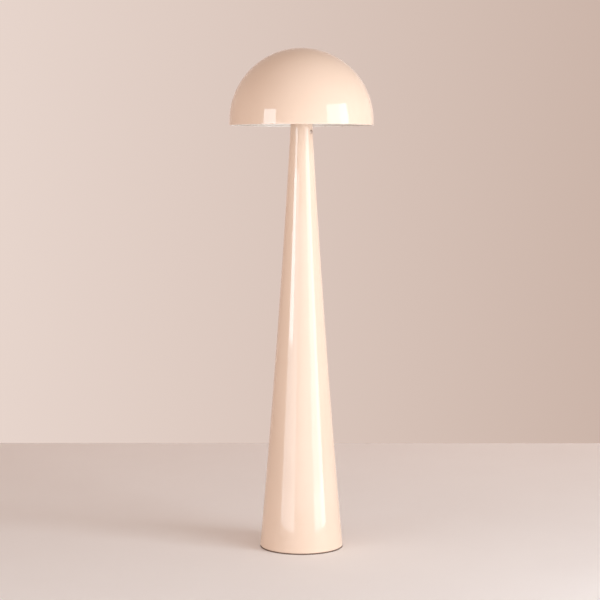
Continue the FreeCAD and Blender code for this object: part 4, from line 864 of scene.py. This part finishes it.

# The camera sees the wall as the world behind the floor, with painted light to the left and painted
# shade to the right. Everything else sees the wall itself and plain daylight, fainter from above.
world = bpy.data.worlds.new("Daylight")
bpy.context.scene.world = world
world.use_nodes = True
tree = world.node_tree
tree.nodes.clear()
gaze = add_node(tree, "ShaderNodeSeparateXYZ", {
    "Vector": add_node(tree, "ShaderNodeTexCoord").outputs["Generated"]})
side = add_node(tree, "ShaderNodeMapRange", {
    "Value": gaze.outputs["X"], "From Min": -WALL_SHADING, "From Max": WALL_SHADING})
overhead = add_node(tree, "ShaderNodeMapRange", {
    "Value": gaze.outputs["Z"], "From Min": 0.0, "From Max": 0.8,
    "To Min": DAYLIGHT_LEVEL, "To Max": DAYLIGHT_ABOVE})
seen_wall = add_node(tree, "ShaderNodeMix", {
    "Factor": side, "A": linear(WALL_PAINTED_LIT_LEFT), "B": linear(WALL_PAINTED_SHADE_RIGHT),
}, data_type="RGBA")
behind = add_node(tree, "ShaderNodeBackground", {"Color": seen_wall, "Strength": 1.0})
daylight = add_node(tree, "ShaderNodeBackground", {"Color": linear(DAYLIGHT), "Strength": overhead})
to_camera = add_node(tree, "ShaderNodeLightPath").outputs["Is Camera Ray"]
air = add_node(tree, "ShaderNodeMixShader", {0: to_camera, 1: daylight, 2: behind})
add_node(tree, "ShaderNodeOutputWorld", {"Surface": air})

# Each lamp: its bearing from the front, its distance and width, its lower and upper edge,
# and how bright it is, where 1 is white. The first five are what the gloss mirrors; the
# last six stand farther off in the same directions and light everything that is matt. A
# lamp of 4 W to the square metre has a face of brightness 1.
for name, bearing, distance, width, low, high, glow in (
        ("softbox right, near", 47.0, 1.05, 0.37, 0.01, 1.68, 2.9),
        ("softbox right, far", 64.5, 1.05, 0.27, 0.01, 1.68, 4.2),
        ("softbox left", -49.5, 2.60, 0.92, 0.69, 2.00, 4.8),
        ("board left", -41.0, 1.40, 1.07, 0.00, 1.29, 2.6),
        ("board right", 8.5, 3.20, 3.47, 0.02, 1.34, 1.0),
        ("fill right, near", 47.0, 4.16, 1.47, 0.24, 3.42, 3.0),
        ("fill right, far", 64.5, 4.16, 1.09, 0.24, 3.42, 5.1),
        ("fill right, low", 52.0, 4.16, 2.60, 0.02, 1.20, 2.0),
        ("fill left", -49.5, 4.16, 1.47, 1.10, 3.20, 0.9),
        ("fill front, left", -41.0, 4.16, 3.20, 0.03, 1.74, 0.9),
        ("fill front, right", 8.5, 4.16, 4.50, 0.03, 1.74, 1.0)):
    light = bpy.data.lights.new(name, "AREA")
    light.shape = "RECTANGLE"
    light.size, light.size_y = width, high - low
    light.energy = WATTS_AT_WHITE * glow * width * (high - low)
    light.color = linear(SOFTBOX_WHITE)[:3]
    lamp = bpy.data.objects.new(name, light)
    bpy.context.scene.collection.objects.link(lamp)
    turned_by = math.radians(bearing)
    lamp.location = (
        distance * math.sin(turned_by), -distance * math.cos(turned_by), (low + high) / 2)
    lamp.rotation_euler = (math.radians(90), 0, turned_by)
    lamp.visible_camera = False
    lamp.visible_diffuse = name.startswith("fill")
    lamp.visible_glossy = not name.startswith("fill")

camera = bpy.data.objects.new("camera", bpy.data.cameras.new("camera"))
bpy.context.scene.collection.objects.link(camera)
camera.data.sensor_width = 36.0
camera.data.lens = 100.38
camera.location = (-0.0045, -5.011, 1.166)
camera.rotation_euler = (math.radians(85.245), 0, 0)
bpy.context.scene.camera = camera
bpy.context.scene.view_settings.view_transform = "Standard"
